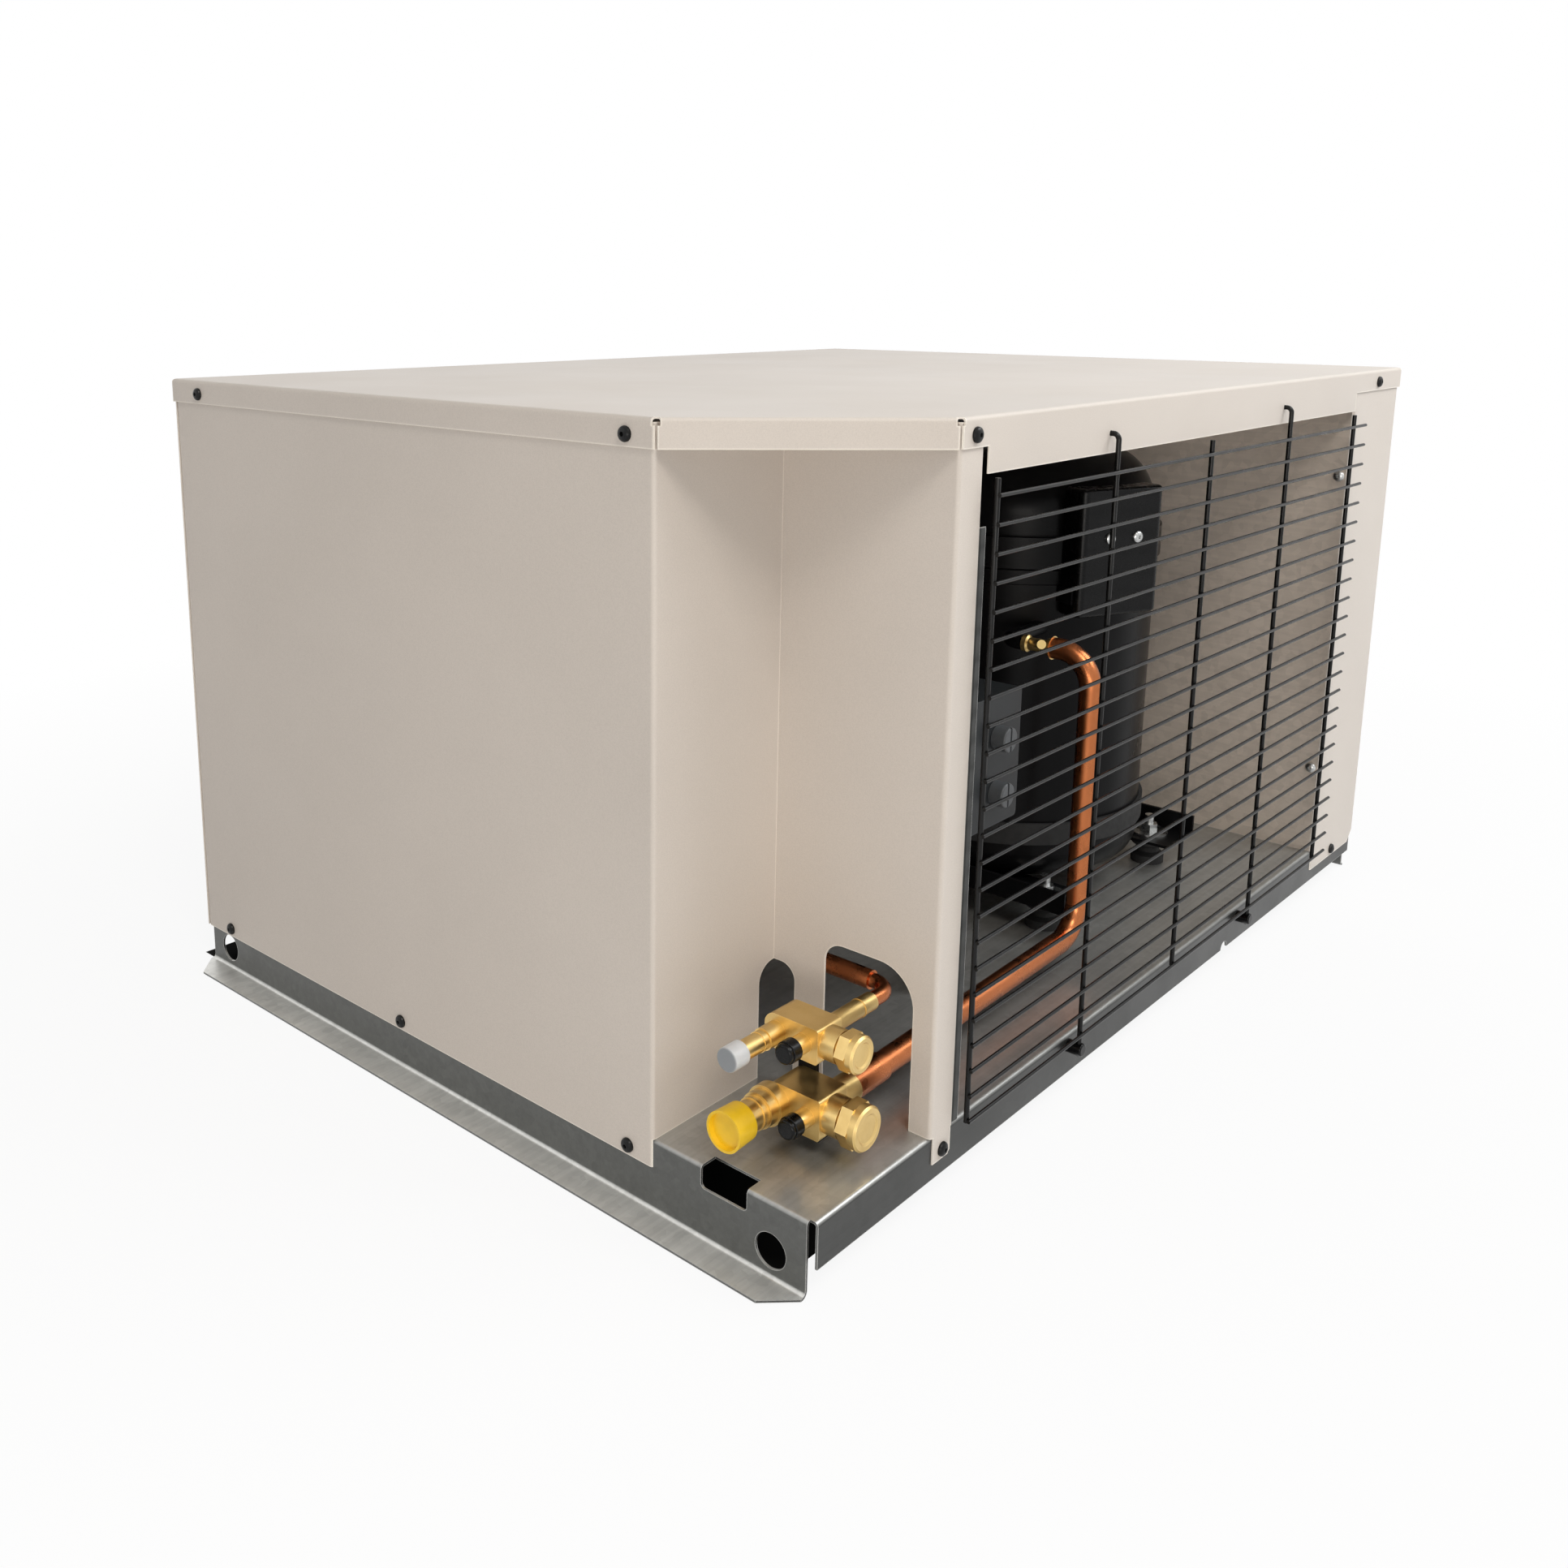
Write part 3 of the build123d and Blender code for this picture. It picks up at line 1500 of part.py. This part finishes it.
side_wires = (right_rails[0] - guard_left_lap, right_rails[-1] + guard_right_lap)
write("wire_guard", welded_guard(right_rails, right_hook_places, *side_wires, right_frame))
rear_wires = (rear_rails[0] - guard_left_lap, rear_rails[-1] + guard_left_lap)
write("coil_guard", welded_guard(rear_rails, rear_hook_places, *rear_wires, rear_frame))
clips = [guard_clip(y, right_frame) for y in right_hook_places]
clips += [guard_clip(x, rear_frame) for x in rear_hook_places]
write("guard_clips", Compound(clips))

write("fan_shroud", make_fan_shroud())
write("condenser_fins", make_condenser_fins())
write("condenser_end_plates", make_condenser_end_plates())
write("condenser_bends", make_condenser_bends())
write("fan_motor", make_fan_motor())
write("motor_bracket", make_motor_bracket())
write("motor_shaft", make_motor_shaft())
write("fan_blades", make_fan_blades())

write("compressor_lower_shell", make_lower_shell())
write("compressor_upper_shell", make_upper_shell())
write("compressor_feet", make_compressor_feet())
write("mounting_grommets", make_mounting_grommets())
write("mounting_bolts", make_mounting_bolts())
write("terminal_cover", make_terminal_cover())
write("cover_strap", make_cover_strap())
write("crankcase_heater", make_crankcase_heater())
write("compressor_stubs", make_compressor_stubs())
write("suction_adapter", make_suction_adapter())

write("suction_line", make_suction_line())
write("discharge_line", make_discharge_line())
write("condenser_line", make_condenser_line())
write("liquid_line", make_liquid_line())
write("receiver_line", make_receiver_line())
write("filter_drier", make_filter_drier())
write("drier_clamp", make_drier_clamp())
write("receiver", make_receiver())
write("receiver_stand", make_receiver_stand())
write("receiver_valve", make_receiver_valve())

for kind, valve in (("suction", suction_valve), ("liquid", liquid_valve)):
    write(f"{kind}_valve_body", make_valve_body(valve))
    write(f"{kind}_valve_stem", make_valve_stem(valve))
    write(f"{kind}_stem_cap", make_stem_cap(valve))
    write(f"{kind}_port_cap", make_port_cap(valve))
write("suction_line_cap", make_suction_line_cap())
write("liquid_line_cap", make_liquid_line_cap())
write("valve_bracket", make_valve_bracket())

write("control_box", make_control_box())
write("control_box_cover", make_control_box_cover())
write("contactor", make_contactor())
write("capacitors", make_capacitors())
write("pressure_control", make_pressure_control())
write("lower_control_knob", make_control_knob(knob_heights[0]))
write("upper_control_knob", make_control_knob(knob_heights[1]))
write("control_bracket", make_control_bracket())
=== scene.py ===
"""Looks for the condensing unit: camera, light and procedural materials."""
import bmesh
import bpy
import json
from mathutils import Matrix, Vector


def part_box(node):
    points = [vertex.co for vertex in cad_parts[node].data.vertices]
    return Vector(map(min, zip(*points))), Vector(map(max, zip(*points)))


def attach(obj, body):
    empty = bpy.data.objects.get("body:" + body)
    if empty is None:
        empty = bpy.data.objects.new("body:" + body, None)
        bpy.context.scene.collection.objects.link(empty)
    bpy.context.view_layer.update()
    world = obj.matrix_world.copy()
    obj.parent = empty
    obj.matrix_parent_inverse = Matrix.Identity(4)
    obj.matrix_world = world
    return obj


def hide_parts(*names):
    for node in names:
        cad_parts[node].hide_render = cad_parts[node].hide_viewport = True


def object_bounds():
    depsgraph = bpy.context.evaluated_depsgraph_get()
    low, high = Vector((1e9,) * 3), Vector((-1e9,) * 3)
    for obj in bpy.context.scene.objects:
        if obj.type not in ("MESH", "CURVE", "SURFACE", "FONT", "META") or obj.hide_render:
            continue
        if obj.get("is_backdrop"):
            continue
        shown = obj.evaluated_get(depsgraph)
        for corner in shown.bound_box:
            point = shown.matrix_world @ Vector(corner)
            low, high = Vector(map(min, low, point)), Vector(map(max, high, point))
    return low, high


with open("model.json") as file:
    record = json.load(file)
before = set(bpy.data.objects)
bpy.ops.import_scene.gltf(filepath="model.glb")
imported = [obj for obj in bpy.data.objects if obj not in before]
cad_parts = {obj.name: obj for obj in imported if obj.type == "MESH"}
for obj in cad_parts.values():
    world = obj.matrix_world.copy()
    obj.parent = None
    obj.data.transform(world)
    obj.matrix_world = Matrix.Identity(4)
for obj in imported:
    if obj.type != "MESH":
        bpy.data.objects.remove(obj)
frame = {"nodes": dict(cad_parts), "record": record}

low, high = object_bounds()
scene = bpy.context.scene
scene.view_settings.view_transform = "Standard"


# ------------------------------------------------------------------ camera
camera_data = bpy.data.cameras.new("camera")
camera_data.sensor_width = 36.0
camera_data.lens = 33.54
camera_data.shift_x = 0.0866
camera_data.shift_y = -0.1224
camera_data.clip_start = 0.02
camera = bpy.data.objects.new("camera", camera_data)
camera.location = (0.7319, -1.0089, 0.5464)
camera.rotation_euler = (1.36779, -0.00138, 0.75386)
scene.collection.objects.link(camera)
scene.camera = camera


# ------------------------------------------------------------------ node helpers
class Maker:
    """Builds one material's node tree with short calls."""

    def __init__(self, name):
        self.material = bpy.data.materials.new(name)
        self.material.use_nodes = True
        self.tree = self.material.node_tree
        self.tree.nodes.clear()
        self.output = self.tree.nodes.new("ShaderNodeOutputMaterial")
        self.shader = self.tree.nodes.new("ShaderNodeBsdfPrincipled")
        self.link(self.shader.outputs[0], self.output.inputs[0])
        self.place = self.tree.nodes.new("ShaderNodeTexCoord").outputs["Object"]

    def link(self, source, target):
        self.tree.links.new(source, target)

    def put(self, target, value):
        """Link a socket, or set a constant."""
        if isinstance(value, bpy.types.NodeSocket):
            self.link(value, target)
        else:
            target.default_value = value

    def set(self, **values):
        for key, value in values.items():
            self.put(self.shader.inputs[key.replace("_", " ")], value)

    def stretched(self, scale):
        node = self.tree.nodes.new("ShaderNodeMapping")
        node.inputs["Scale"].default_value = scale
        self.link(self.place, node.inputs["Vector"])
        return node.outputs[0]

    def noise(self, scale, detail=4.0, roughness=0.55, stretch=None):
        node = self.tree.nodes.new("ShaderNodeTexNoise")
        node.inputs["Scale"].default_value = scale
        node.inputs["Detail"].default_value = detail
        node.inputs["Roughness"].default_value = roughness
        self.link(self.stretched(stretch) if stretch else self.place, node.inputs["Vector"])
        return node.outputs["Fac"]

    def cells(self, scale):
        node = self.tree.nodes.new("ShaderNodeTexVoronoi")
        node.inputs["Scale"].default_value = scale
        self.link(self.place, node.inputs["Vector"])
        return node.outputs["Color"]

    def ramp(self, factor, *stops):
        node = self.tree.nodes.new("ShaderNodeValToRGB")
        ramp = node.color_ramp
        while len(ramp.elements) < len(stops):
            ramp.elements.new(0.5)
        for element, (position, colour) in zip(ramp.elements, stops):
            element.position = position
            if not isinstance(colour, tuple):
                colour = (colour,) * 3
            element.color = (*colour, 1.0)
        self.link(factor, node.inputs["Fac"])
        return node.outputs["Color"]

    def mix(self, factor, first, second, blend="MIX"):
        node = self.tree.nodes.new("ShaderNodeMix")
        node.data_type = "RGBA"
        node.blend_type = blend
        colour = [socket for socket in node.inputs if socket.type == "RGBA"]
        self.put(node.inputs["Factor"], factor)
        for socket, value in zip(colour, (first, second)):
            self.put(socket, (*value, 1.0) if isinstance(value, tuple) else value)
        return node.outputs[2]

    def maths(self, operation, first, second):
        node = self.tree.nodes.new("ShaderNodeMath")
        node.operation = operation
        self.put(node.inputs[0], first)
        self.put(node.inputs[1], second)
        return node.outputs[0]

    def edge(self, radius):
        """White along outer edges: the mask for rubbed edges, and for painted highlights along
        bends.
        """
        bevel = self.tree.nodes.new("ShaderNodeBevel")
        bevel.samples = 4
        bevel.inputs["Radius"].default_value = radius
        normal = self.tree.nodes.new("ShaderNodeNewGeometry").outputs["Normal"]
        dot = self.tree.nodes.new("ShaderNodeVectorMath")
        dot.operation = "DOT_PRODUCT"
        self.link(bevel.outputs[0], dot.inputs[0])
        self.link(normal, dot.inputs[1])
        return self.ramp(dot.outputs["Value"], (0.9, 1.0), (1.0, 0.0))

    def facing(self, axis, sign=1.0):
        """White on faces that look along an axis and black on the others."""
        split = self.tree.nodes.new("ShaderNodeSeparateXYZ")
        self.link(self.tree.nodes.new("ShaderNodeNewGeometry").outputs["Normal"], split.inputs[0])
        turned = self.maths("MULTIPLY", split.outputs[axis], sign)
        return self.ramp(turned, (0.3, 0.0), (0.9, 1.0))

    def height(self, start, end):
        """Black below the start height and white above the end height."""
        split = self.tree.nodes.new("ShaderNodeSeparateXYZ")
        self.link(self.place, split.inputs[0])
        rise = self.maths("SUBTRACT", split.outputs["Z"], start)
        return self.ramp(self.maths("DIVIDE", rise, end - start), (0.0, 0.0), (1.0, 1.0))

    def bump(self, height, depth, strength):
        node = self.tree.nodes.new("ShaderNodeBump")
        node.inputs["Strength"].default_value = strength
        node.inputs["Distance"].default_value = depth
        self.link(height, node.inputs["Height"])
        return node.outputs["Normal"]


def linear(red, green, blue):
    """Colour read as it looks on screen, turned into the shader's linear values."""
    values = (red / 255, green / 255, blue / 255)
    return tuple(v / 12.92 if v <= 0.04045 else ((v + 0.055) / 1.055) ** 2.4 for v in values)


# ------------------------------------------------------------------ materials
# heights where level faces turn from dust and painted light near the floor to painted shade on
# the deck
deck_shade_heights = (0.02, 0.04)
# shares of colour kept on the deck and on +X faces: painted shade
deck_painted_shade_share = 0.52
flange_painted_shade_share = 0.4


def painted(name, colour, roughness=0.45, grain=0.00002, spread=0.03, shine=0.45):
    """Powder coat: fine orange peel, faint clouding, and paler edges that are a painted highlight
    along the bends with some rub wear.
    """
    m = Maker(name)
    darker = tuple(c * (1 - spread) for c in colour)
    lighter = tuple(min(1.0, c * (1 + spread)) for c in colour)
    clouds = m.ramp(m.noise(5.0, 6.0), (0.3, darker), (0.7, lighter))
    speckle = m.ramp(m.noise(1400.0, 2.0), (0.35, 0.94), (0.6, 1.0))
    base = m.mix(1.0, clouds, speckle, "MULTIPLY")
    # paler edge colour: painted highlight along bends, with some rub wear
    pale = tuple(min(1.0, c * 1.5) for c in colour)
    base = m.mix(m.edge(0.0016), base, pale)
    rough = m.ramp(m.noise(9.0, 5.0), (0.3, roughness - 0.05), (0.7, roughness + 0.06))
    peel = m.bump(m.noise(700.0, 3.0), grain, 0.5)
    m.set(Base_Color=base, Roughness=rough, Normal=peel, Specular_IOR_Level=shine)
    return m.material


def zinc_sheet(name, colour, along, streak, rough, metal, dust=None):
    """Galvanised sheet: small spangle, rolling streaks and dull patches.

    With dust, level faces take that paler colour (dust plus painted light from above), which is
    cut by height to painted shade on the deck; faces along +X are darkened by direction as
    painted shade.
    """
    m = Maker(name)
    spangle = m.ramp(m.cells(160.0), (0.0, 0.90), (1.0, 1.06))
    streaks = m.ramp(m.noise(1.0, 5.0, 0.6, along), (0.3, 1 - streak), (0.7, 1.0))
    tint = m.mix(1.0, spangle, streaks, "MULTIPLY")
    if dust:
        # painted shade for the deck and for upright faces along +X
        painted_deck_shade = tuple(deck_painted_shade_share * c for c in dust)
        painted_flange_shade = tuple(flange_painted_shade_share * c for c in colour)
        # level faces: dust and painted light near the floor, painted shade on the deck
        level_dust_light_and_shade = m.mix(m.height(*deck_shade_heights), dust, painted_deck_shade)
        colour = m.mix(m.facing("X"), colour, painted_flange_shade)
        colour = m.mix(m.facing("Z"), colour, level_dust_light_and_shade)
    base = m.mix(1.0, tint, colour, "MULTIPLY")
    base = m.mix(m.edge(0.0008), base, linear(205, 205, 202))
    patches = m.ramp(m.noise(14.0, 6.0), (0.3, rough - 0.08), (0.72, rough + 0.10))
    rows = m.bump(m.noise(1.0, 4.0, 0.6, tuple(12 * s for s in along)), 0.00002, 0.5)
    m.set(Base_Color=base, Metallic=metal, Roughness=patches, Normal=rows)
    return m.material


def bare_metal(name, colour, rough=0.28, stain=None, stain_amount=0.5, grain=0.00003, rub=True):
    """Turned, drawn or forged metal with fine tool marks, staining and rubbed edges."""
    m = Maker(name)
    stain = stain or tuple(c * 0.7 for c in colour)
    worn = m.ramp(m.noise(45.0, 8.0, 0.65), (0.42, 0.0), (0.75, stain_amount))
    base = m.mix(worn, colour, stain)
    if rub:
        bright = tuple(min(1.0, c * 1.15 + 0.03) for c in colour)
        base = m.mix(m.edge(0.0006), base, bright)
    rough_map = m.ramp(m.noise(80.0, 6.0), (0.3, rough - 0.07), (0.7, rough + 0.12))
    marks = m.bump(m.noise(300.0, 4.0), grain, 0.5)
    m.set(Base_Color=base, Metallic=1.0, Roughness=rough_map, Normal=marks)
    return m.material


def gloss_black(name, colour=0.006, rough=0.22, coat=0.3):
    """Dipped or painted black with a slight ripple and dust on it."""
    m = Maker(name)
    dust = m.ramp(m.noise(60.0, 7.0, 0.7), (0.45, colour), (0.85, colour * 2.6))
    rough_map = m.ramp(m.noise(35.0, 5.0), (0.3, rough - 0.05), (0.7, rough + 0.15))
    ripple = m.bump(m.noise(220.0, 2.0), 0.00005, 0.4)
    m.set(Base_Color=dust, Roughness=rough_map, Normal=ripple, Coat_Weight=coat)
    m.set(Specular_IOR_Level=0.2)
    return m.material


def moulded(name, colour, rough=0.42, grain=0.00004, glow=0.0, shine=0.5, front_painted_shade=None):
    """Moulded plastic with a fine spark-eroded texture and handling marks.

    The shaded end is painted shade: a darker colour on faces along -Y.
    """
    m = Maker(name)
    shade = m.ramp(m.noise(70.0, 6.0), (0.35, tuple(c * 0.86 for c in colour)), (0.65, colour))
    rough_map = m.ramp(m.noise(120.0, 5.0), (0.3, rough - 0.06), (0.7, rough + 0.1))
    skin = m.bump(m.noise(1500.0, 2.0), grain, 0.5)
    # painted shade on faces along -Y
    if front_painted_shade:
        shade = m.mix(m.facing("Y", -1.0), shade, front_painted_shade)
    m.set(Base_Color=shade, Roughness=rough_map, Normal=skin, Subsurface_Weight=glow)
    m.set(Specular_IOR_Level=shine)
    if glow:
        m.set(Subsurface_Scale=0.002)
    return m.material


def fin_pack(name):
    """Aluminium fins: thin upright lines at fin pitch over the slotted block."""
    m = Maker(name)
    wave = m.tree.nodes.new("ShaderNodeTexWave")
    wave.bands_direction = "X"
    wave.inputs["Scale"].default_value = 150.0
    m.link(m.place, wave.inputs["Vector"])
    lines = m.ramp(wave.outputs["Fac"], (0.25, 0.12), (0.6, 1.0))
    base = m.mix(1.0, linear(205, 208, 212), lines, "MULTIPLY")
    m.set(Base_Color=base, Metallic=0.9, Roughness=0.35)
    m.set(Normal=m.bump(wave.outputs["Fac"], 0.0008, 0.8))
    return m.material


beige = linear(217, 208, 199)
along_x = (2.0, 260.0, 260.0)
along_y = (260.0, 2.0, 260.0)

looks = {
    "panel_coat": painted("panel_coat", beige),
    # the last colour is for level faces: dust and painted light from above
    "galvanised": zinc_sheet(
        "galvanised", linear(98, 99, 97), along_y, 0.16, 0.36, 0.6, linear(250, 250, 246)
    ),
    "zinc_inner": zinc_sheet("zinc_inner", linear(228, 215, 202), along_x, 0.12, 0.5, 0.1),
    "black_wire": gloss_black("black_wire", 0.004, 0.24, 0.08),
    "black_screw": gloss_black("black_screw", 0.004, 0.28, 0.05),
    "zinc_screw": bare_metal("zinc_screw", linear(205, 206, 205), 0.25),
    "black_plastic": moulded("black_plastic", (0.002, 0.002, 0.0022), 0.24, 0.00001, 0.0, 0.2),
    "black_steel": painted("black_steel", (0.005, 0.005, 0.0055), 0.30, 0.00003, 0.15, 0.1),
    "aluminium": fin_pack("aluminium"),
    "fan_grey": bare_metal("fan_grey", linear(176, 178, 182), 0.38),
    "copper": bare_metal(
        "copper", linear(192, 116, 72), 0.27, linear(164, 94, 58), 0.25, 0.000001, False
    ),
    "brass": bare_metal("brass", linear(224, 194, 130), 0.35, linear(176, 140, 76), 0.4, 0.00001),
    "steel": bare_metal("steel", linear(170, 171, 174), 0.32),
    "rubber": moulded("rubber", linear(28, 28, 28), 0.7, 0.00008),
    "receiver_coat": painted("receiver_coat", linear(44, 46, 50), 0.35, 0.00003, 0.1),
    "drier_coat": painted("drier_coat", linear(40, 66, 120), 0.35, 0.00003, 0.08),
    "yellow_plastic": moulded("yellow_plastic", linear(252, 206, 30), 0.34, 0.00002),
    # the last colour is painted shade for the cap's front face
    "pale_plastic": moulded(
        "pale_plastic", linear(212, 213, 214), 0.36, 0.00002, 0.05, 0.5, linear(138, 142, 146)
    ),
    "grey_plastic": moulded("grey_plastic", linear(84, 87, 90), 0.4),
    "control_grey": painted("control_grey", linear(44, 47, 49), 0.4, 0.00002, 0.05, 0.25),
}

for entry in frame["record"]["subparts"]:
    shown = frame["nodes"][entry["node"]]
    material = looks[entry["material_slot"]]
    for slot in shown.material_slots:
        slot.material = material


# ------------------------------------------------------------------ valve bracket
def plate_mesh(mesh, low_corner, high_corner):
    """Add one square-edged plate to a mesh under construction."""
    corners = [
        mesh.verts.new((x, y, z))
        for z in (low_corner[2], high_corner[2])
        for x, y in (
            (low_corner[0], low_corner[1]),
            (high_corner[0], low_corner[1]),
            (high_corner[0], high_corner[1]),
            (low_corner[0], high_corner[1]),
        )
    ]
    ends = ((3, 2, 1, 0), (4, 5, 6, 7))
    sides = ((0, 1, 5, 4), (1, 2, 6, 5), (2, 3, 7, 6), (3, 0, 4, 7))
    for face in ends + sides:
        mesh.faces.new([corners[index] for index in face])


bracket_sheet = 0.0025
bracket_foot_depth = 0.025
bracket_foot_sheet = 0.0015
strap_width = 0.014
strap_reach = 0.012
pad_reach = 0.003
pad_depth = 0.007


def make_bracket():
    """Folded strap behind the valves: foot, upright, pad and a shelf under the lower block.

    It leaves out the CAD's spacer and pedestal, which the photo doesn't show.
    """
    floor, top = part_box("valve_bracket")
    lower_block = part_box("suction_valve_body")
    upper_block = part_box("liquid_valve_body")
    front_y = top.y - bracket_foot_depth
    rear_y = front_y + bracket_sheet
    right = floor.x + strap_width
    strap_top = upper_block[0].z + strap_reach
    foot_top = floor.z + bracket_foot_sheet
    shelf_top = lower_block[0].z
    shelf_low = shelf_top - bracket_sheet
    pad_low = upper_block[0].z + pad_reach
    mesh = bmesh.new()
    plate_mesh(mesh, (floor.x, front_y, floor.z), (right, rear_y, strap_top))
    plate_mesh(mesh, (floor.x, rear_y, floor.z), (right, top.y, foot_top))
    plate_mesh(mesh, (floor.x, floor.y, shelf_low), (top.x, front_y, shelf_top))
    plate_mesh(mesh, (floor.x, front_y - pad_depth, pad_low), (right, front_y, strap_top))
    data = bpy.data.meshes.new("bracket")
    mesh.to_mesh(data)
    mesh.free()
    data.materials.append(looks["black_steel"])
    bracket = bpy.data.objects.new("bracket", data)
    scene.collection.objects.link(bracket)
    edges = bracket.modifiers.new("edges", "BEVEL")
    edges.width = 0.0004
    edges.segments = 2
    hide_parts("valve_bracket")
    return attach(bracket, "unit")


make_bracket()


# ------------------------------------------------------------------ light
def area_light(name, place, target, size, power, colour=(1.0, 1.0, 1.0)):
    """Rectangular lamp that looks from its place to the target."""
    data = bpy.data.lights.new(name, "AREA")
    data.shape = "RECTANGLE"
    data.size, data.size_y = size
    data.energy = power
    data.color = colour
    lamp = bpy.data.objects.new(name, data)
    lamp.location = place
    lamp.rotation_euler = (Vector(target) - Vector(place)).to_track_quat("-Z", "Y").to_euler()
    scene.collection.objects.link(lamp)


area_light("key", (2.1, -1.4, 3.3), (0.1, 0.0, 0.25), (1.2, 1.2), 48.0, (1.0, 0.95, 0.88))
area_light("side", (1.3, -1.7, 0.3), (0.25, -0.35, 0.1), (0.9, 0.5), 7.0, (1.0, 0.94, 0.87))
area_light("top", (1.3, 1.0, 1.9), (0.1, 0.1, 0.45), (1.4, 1.4), 30.0, (0.95, 0.98, 1.0))
area_light("fill", (-1.4, -2.8, 1.3), (0.0, 0.0, 0.2), (1.6, 1.4), 4.0)


def shown_to_viewer(tree):
    """1 on rays that reach the camera straight, by a mirror or through glass."""
    path = tree.nodes.new("ShaderNodeLightPath")
    total = path.outputs["Is Camera Ray"]
    for ray in ("Is Glossy Ray", "Is Transmission Ray"):
        larger = tree.nodes.new("ShaderNodeMath")
        larger.operation = "MAXIMUM"
        tree.links.new(total, larger.inputs[0])
        tree.links.new(path.outputs[ray], larger.inputs[1])
        total = larger.outputs[0]
    return total


soft_light = 0.26


def make_world():
    """White all round to the viewer, and a soft even light on everything else."""
    world = bpy.data.worlds.new("studio")
    world.use_nodes = True
    tree = world.node_tree
    tree.nodes.clear()
    soft = tree.nodes.new("ShaderNodeBackground")
    soft.inputs["Strength"].default_value = soft_light
    white = tree.nodes.new("ShaderNodeBackground")
    for light in (soft, white):
        light.inputs["Color"].default_value = (1.0, 1.0, 1.0, 1.0)
    choose = tree.nodes.new("ShaderNodeMixShader")
    final = tree.nodes.new("ShaderNodeOutputWorld")
    tree.links.new(shown_to_viewer(tree), choose.inputs[0])
    tree.links.new(soft.outputs[0], choose.inputs[1])
    tree.links.new(white.outputs[0], choose.inputs[2])
    tree.links.new(choose.outputs[0], final.inputs[0])
    return world


scene.world = make_world()


# ------------------------------------------------------------------ floor
glow_distances = (0.5, 1.3)
web_depth = 0.0225
shade_depth = 0.12


def flat_sheet(name, x, y, z, material):
    """Level rectangle between two values along X and Y."""
    mesh = bpy.data.meshes.new(name)
    corners = [(x[0], y[0], z), (x[1], y[0], z), (x[1], y[1], z), (x[0], y[1], z)]
    mesh.from_pydata(corners, [], [(0, 1, 2, 3)])
    mesh.materials.append(material)
    sheet = bpy.data.objects.new(name, mesh)
    scene.collection.objects.link(sheet)
    return sheet


def matte_paint(name, grey, glow):
    """Plain grey that the viewer sees as white, by a share given at the middle and far out."""
    material = bpy.data.materials.new(name)
    material.use_nodes = True
    tree = material.node_tree
    tree.nodes.clear()
    matte = tree.nodes.new("ShaderNodeBsdfDiffuse")
    matte.inputs["Color"].default_value = (grey, grey, grey, 1.0)
    bright = tree.nodes.new("ShaderNodeEmission")
    place = tree.nodes.new("ShaderNodeTexCoord").outputs["Object"]
    distance = tree.nodes.new("ShaderNodeVectorMath")
    distance.operation = "LENGTH"
    tree.links.new(place, distance.inputs[0])
    spread = tree.nodes.new("ShaderNodeMapRange")
    ends = ("From Min", "From Max", "To Min", "To Max")
    for end, value in zip(ends, (*glow_distances, *glow)):
        spread.inputs[end].default_value = value
    tree.links.new(distance.outputs["Value"], spread.inputs["Value"])
    share = tree.nodes.new("ShaderNodeMath")
    share.operation = "MULTIPLY"
    blend = tree.nodes.new("ShaderNodeMixShader")
    out = tree.nodes.new("ShaderNodeOutputMaterial")
    tree.links.new(shown_to_viewer(tree), share.inputs[0])
    tree.links.new(spread.outputs[0], share.inputs[1])
    tree.links.new(share.outputs[0], blend.inputs[0])
    tree.links.new(matte.outputs[0], blend.inputs[1])
    tree.links.new(bright.outputs[0], blend.inputs[2])
    tree.links.new(blend.outputs[0], out.inputs[0])
    return material


def make_floor():
    """Floor that fades into the white background and keeps the unit's shadow."""
    reach = (-6.0, 6.0)
    paint = matte_paint("floor", 0.85, (0.90, 1.0))
    return flat_sheet("floor", reach, reach, low.z - 0.0005, paint)


def make_shade():
    """Painted shadow: a dark patch on the floor behind the front web, where the base pan shades
    it, so that its holes look black.
    """
    pan_low, pan_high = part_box("base_pan")
    x = (pan_low.x - 0.012, pan_high.x - 0.025)
    y = (pan_low.y + web_depth, pan_low.y + shade_depth)
    return flat_sheet("shade", x, y, low.z - 0.0003, matte_paint("shade", 0.03, (0.0, 0.0)))


make_floor()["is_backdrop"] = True
make_shade()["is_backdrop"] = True

low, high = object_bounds()
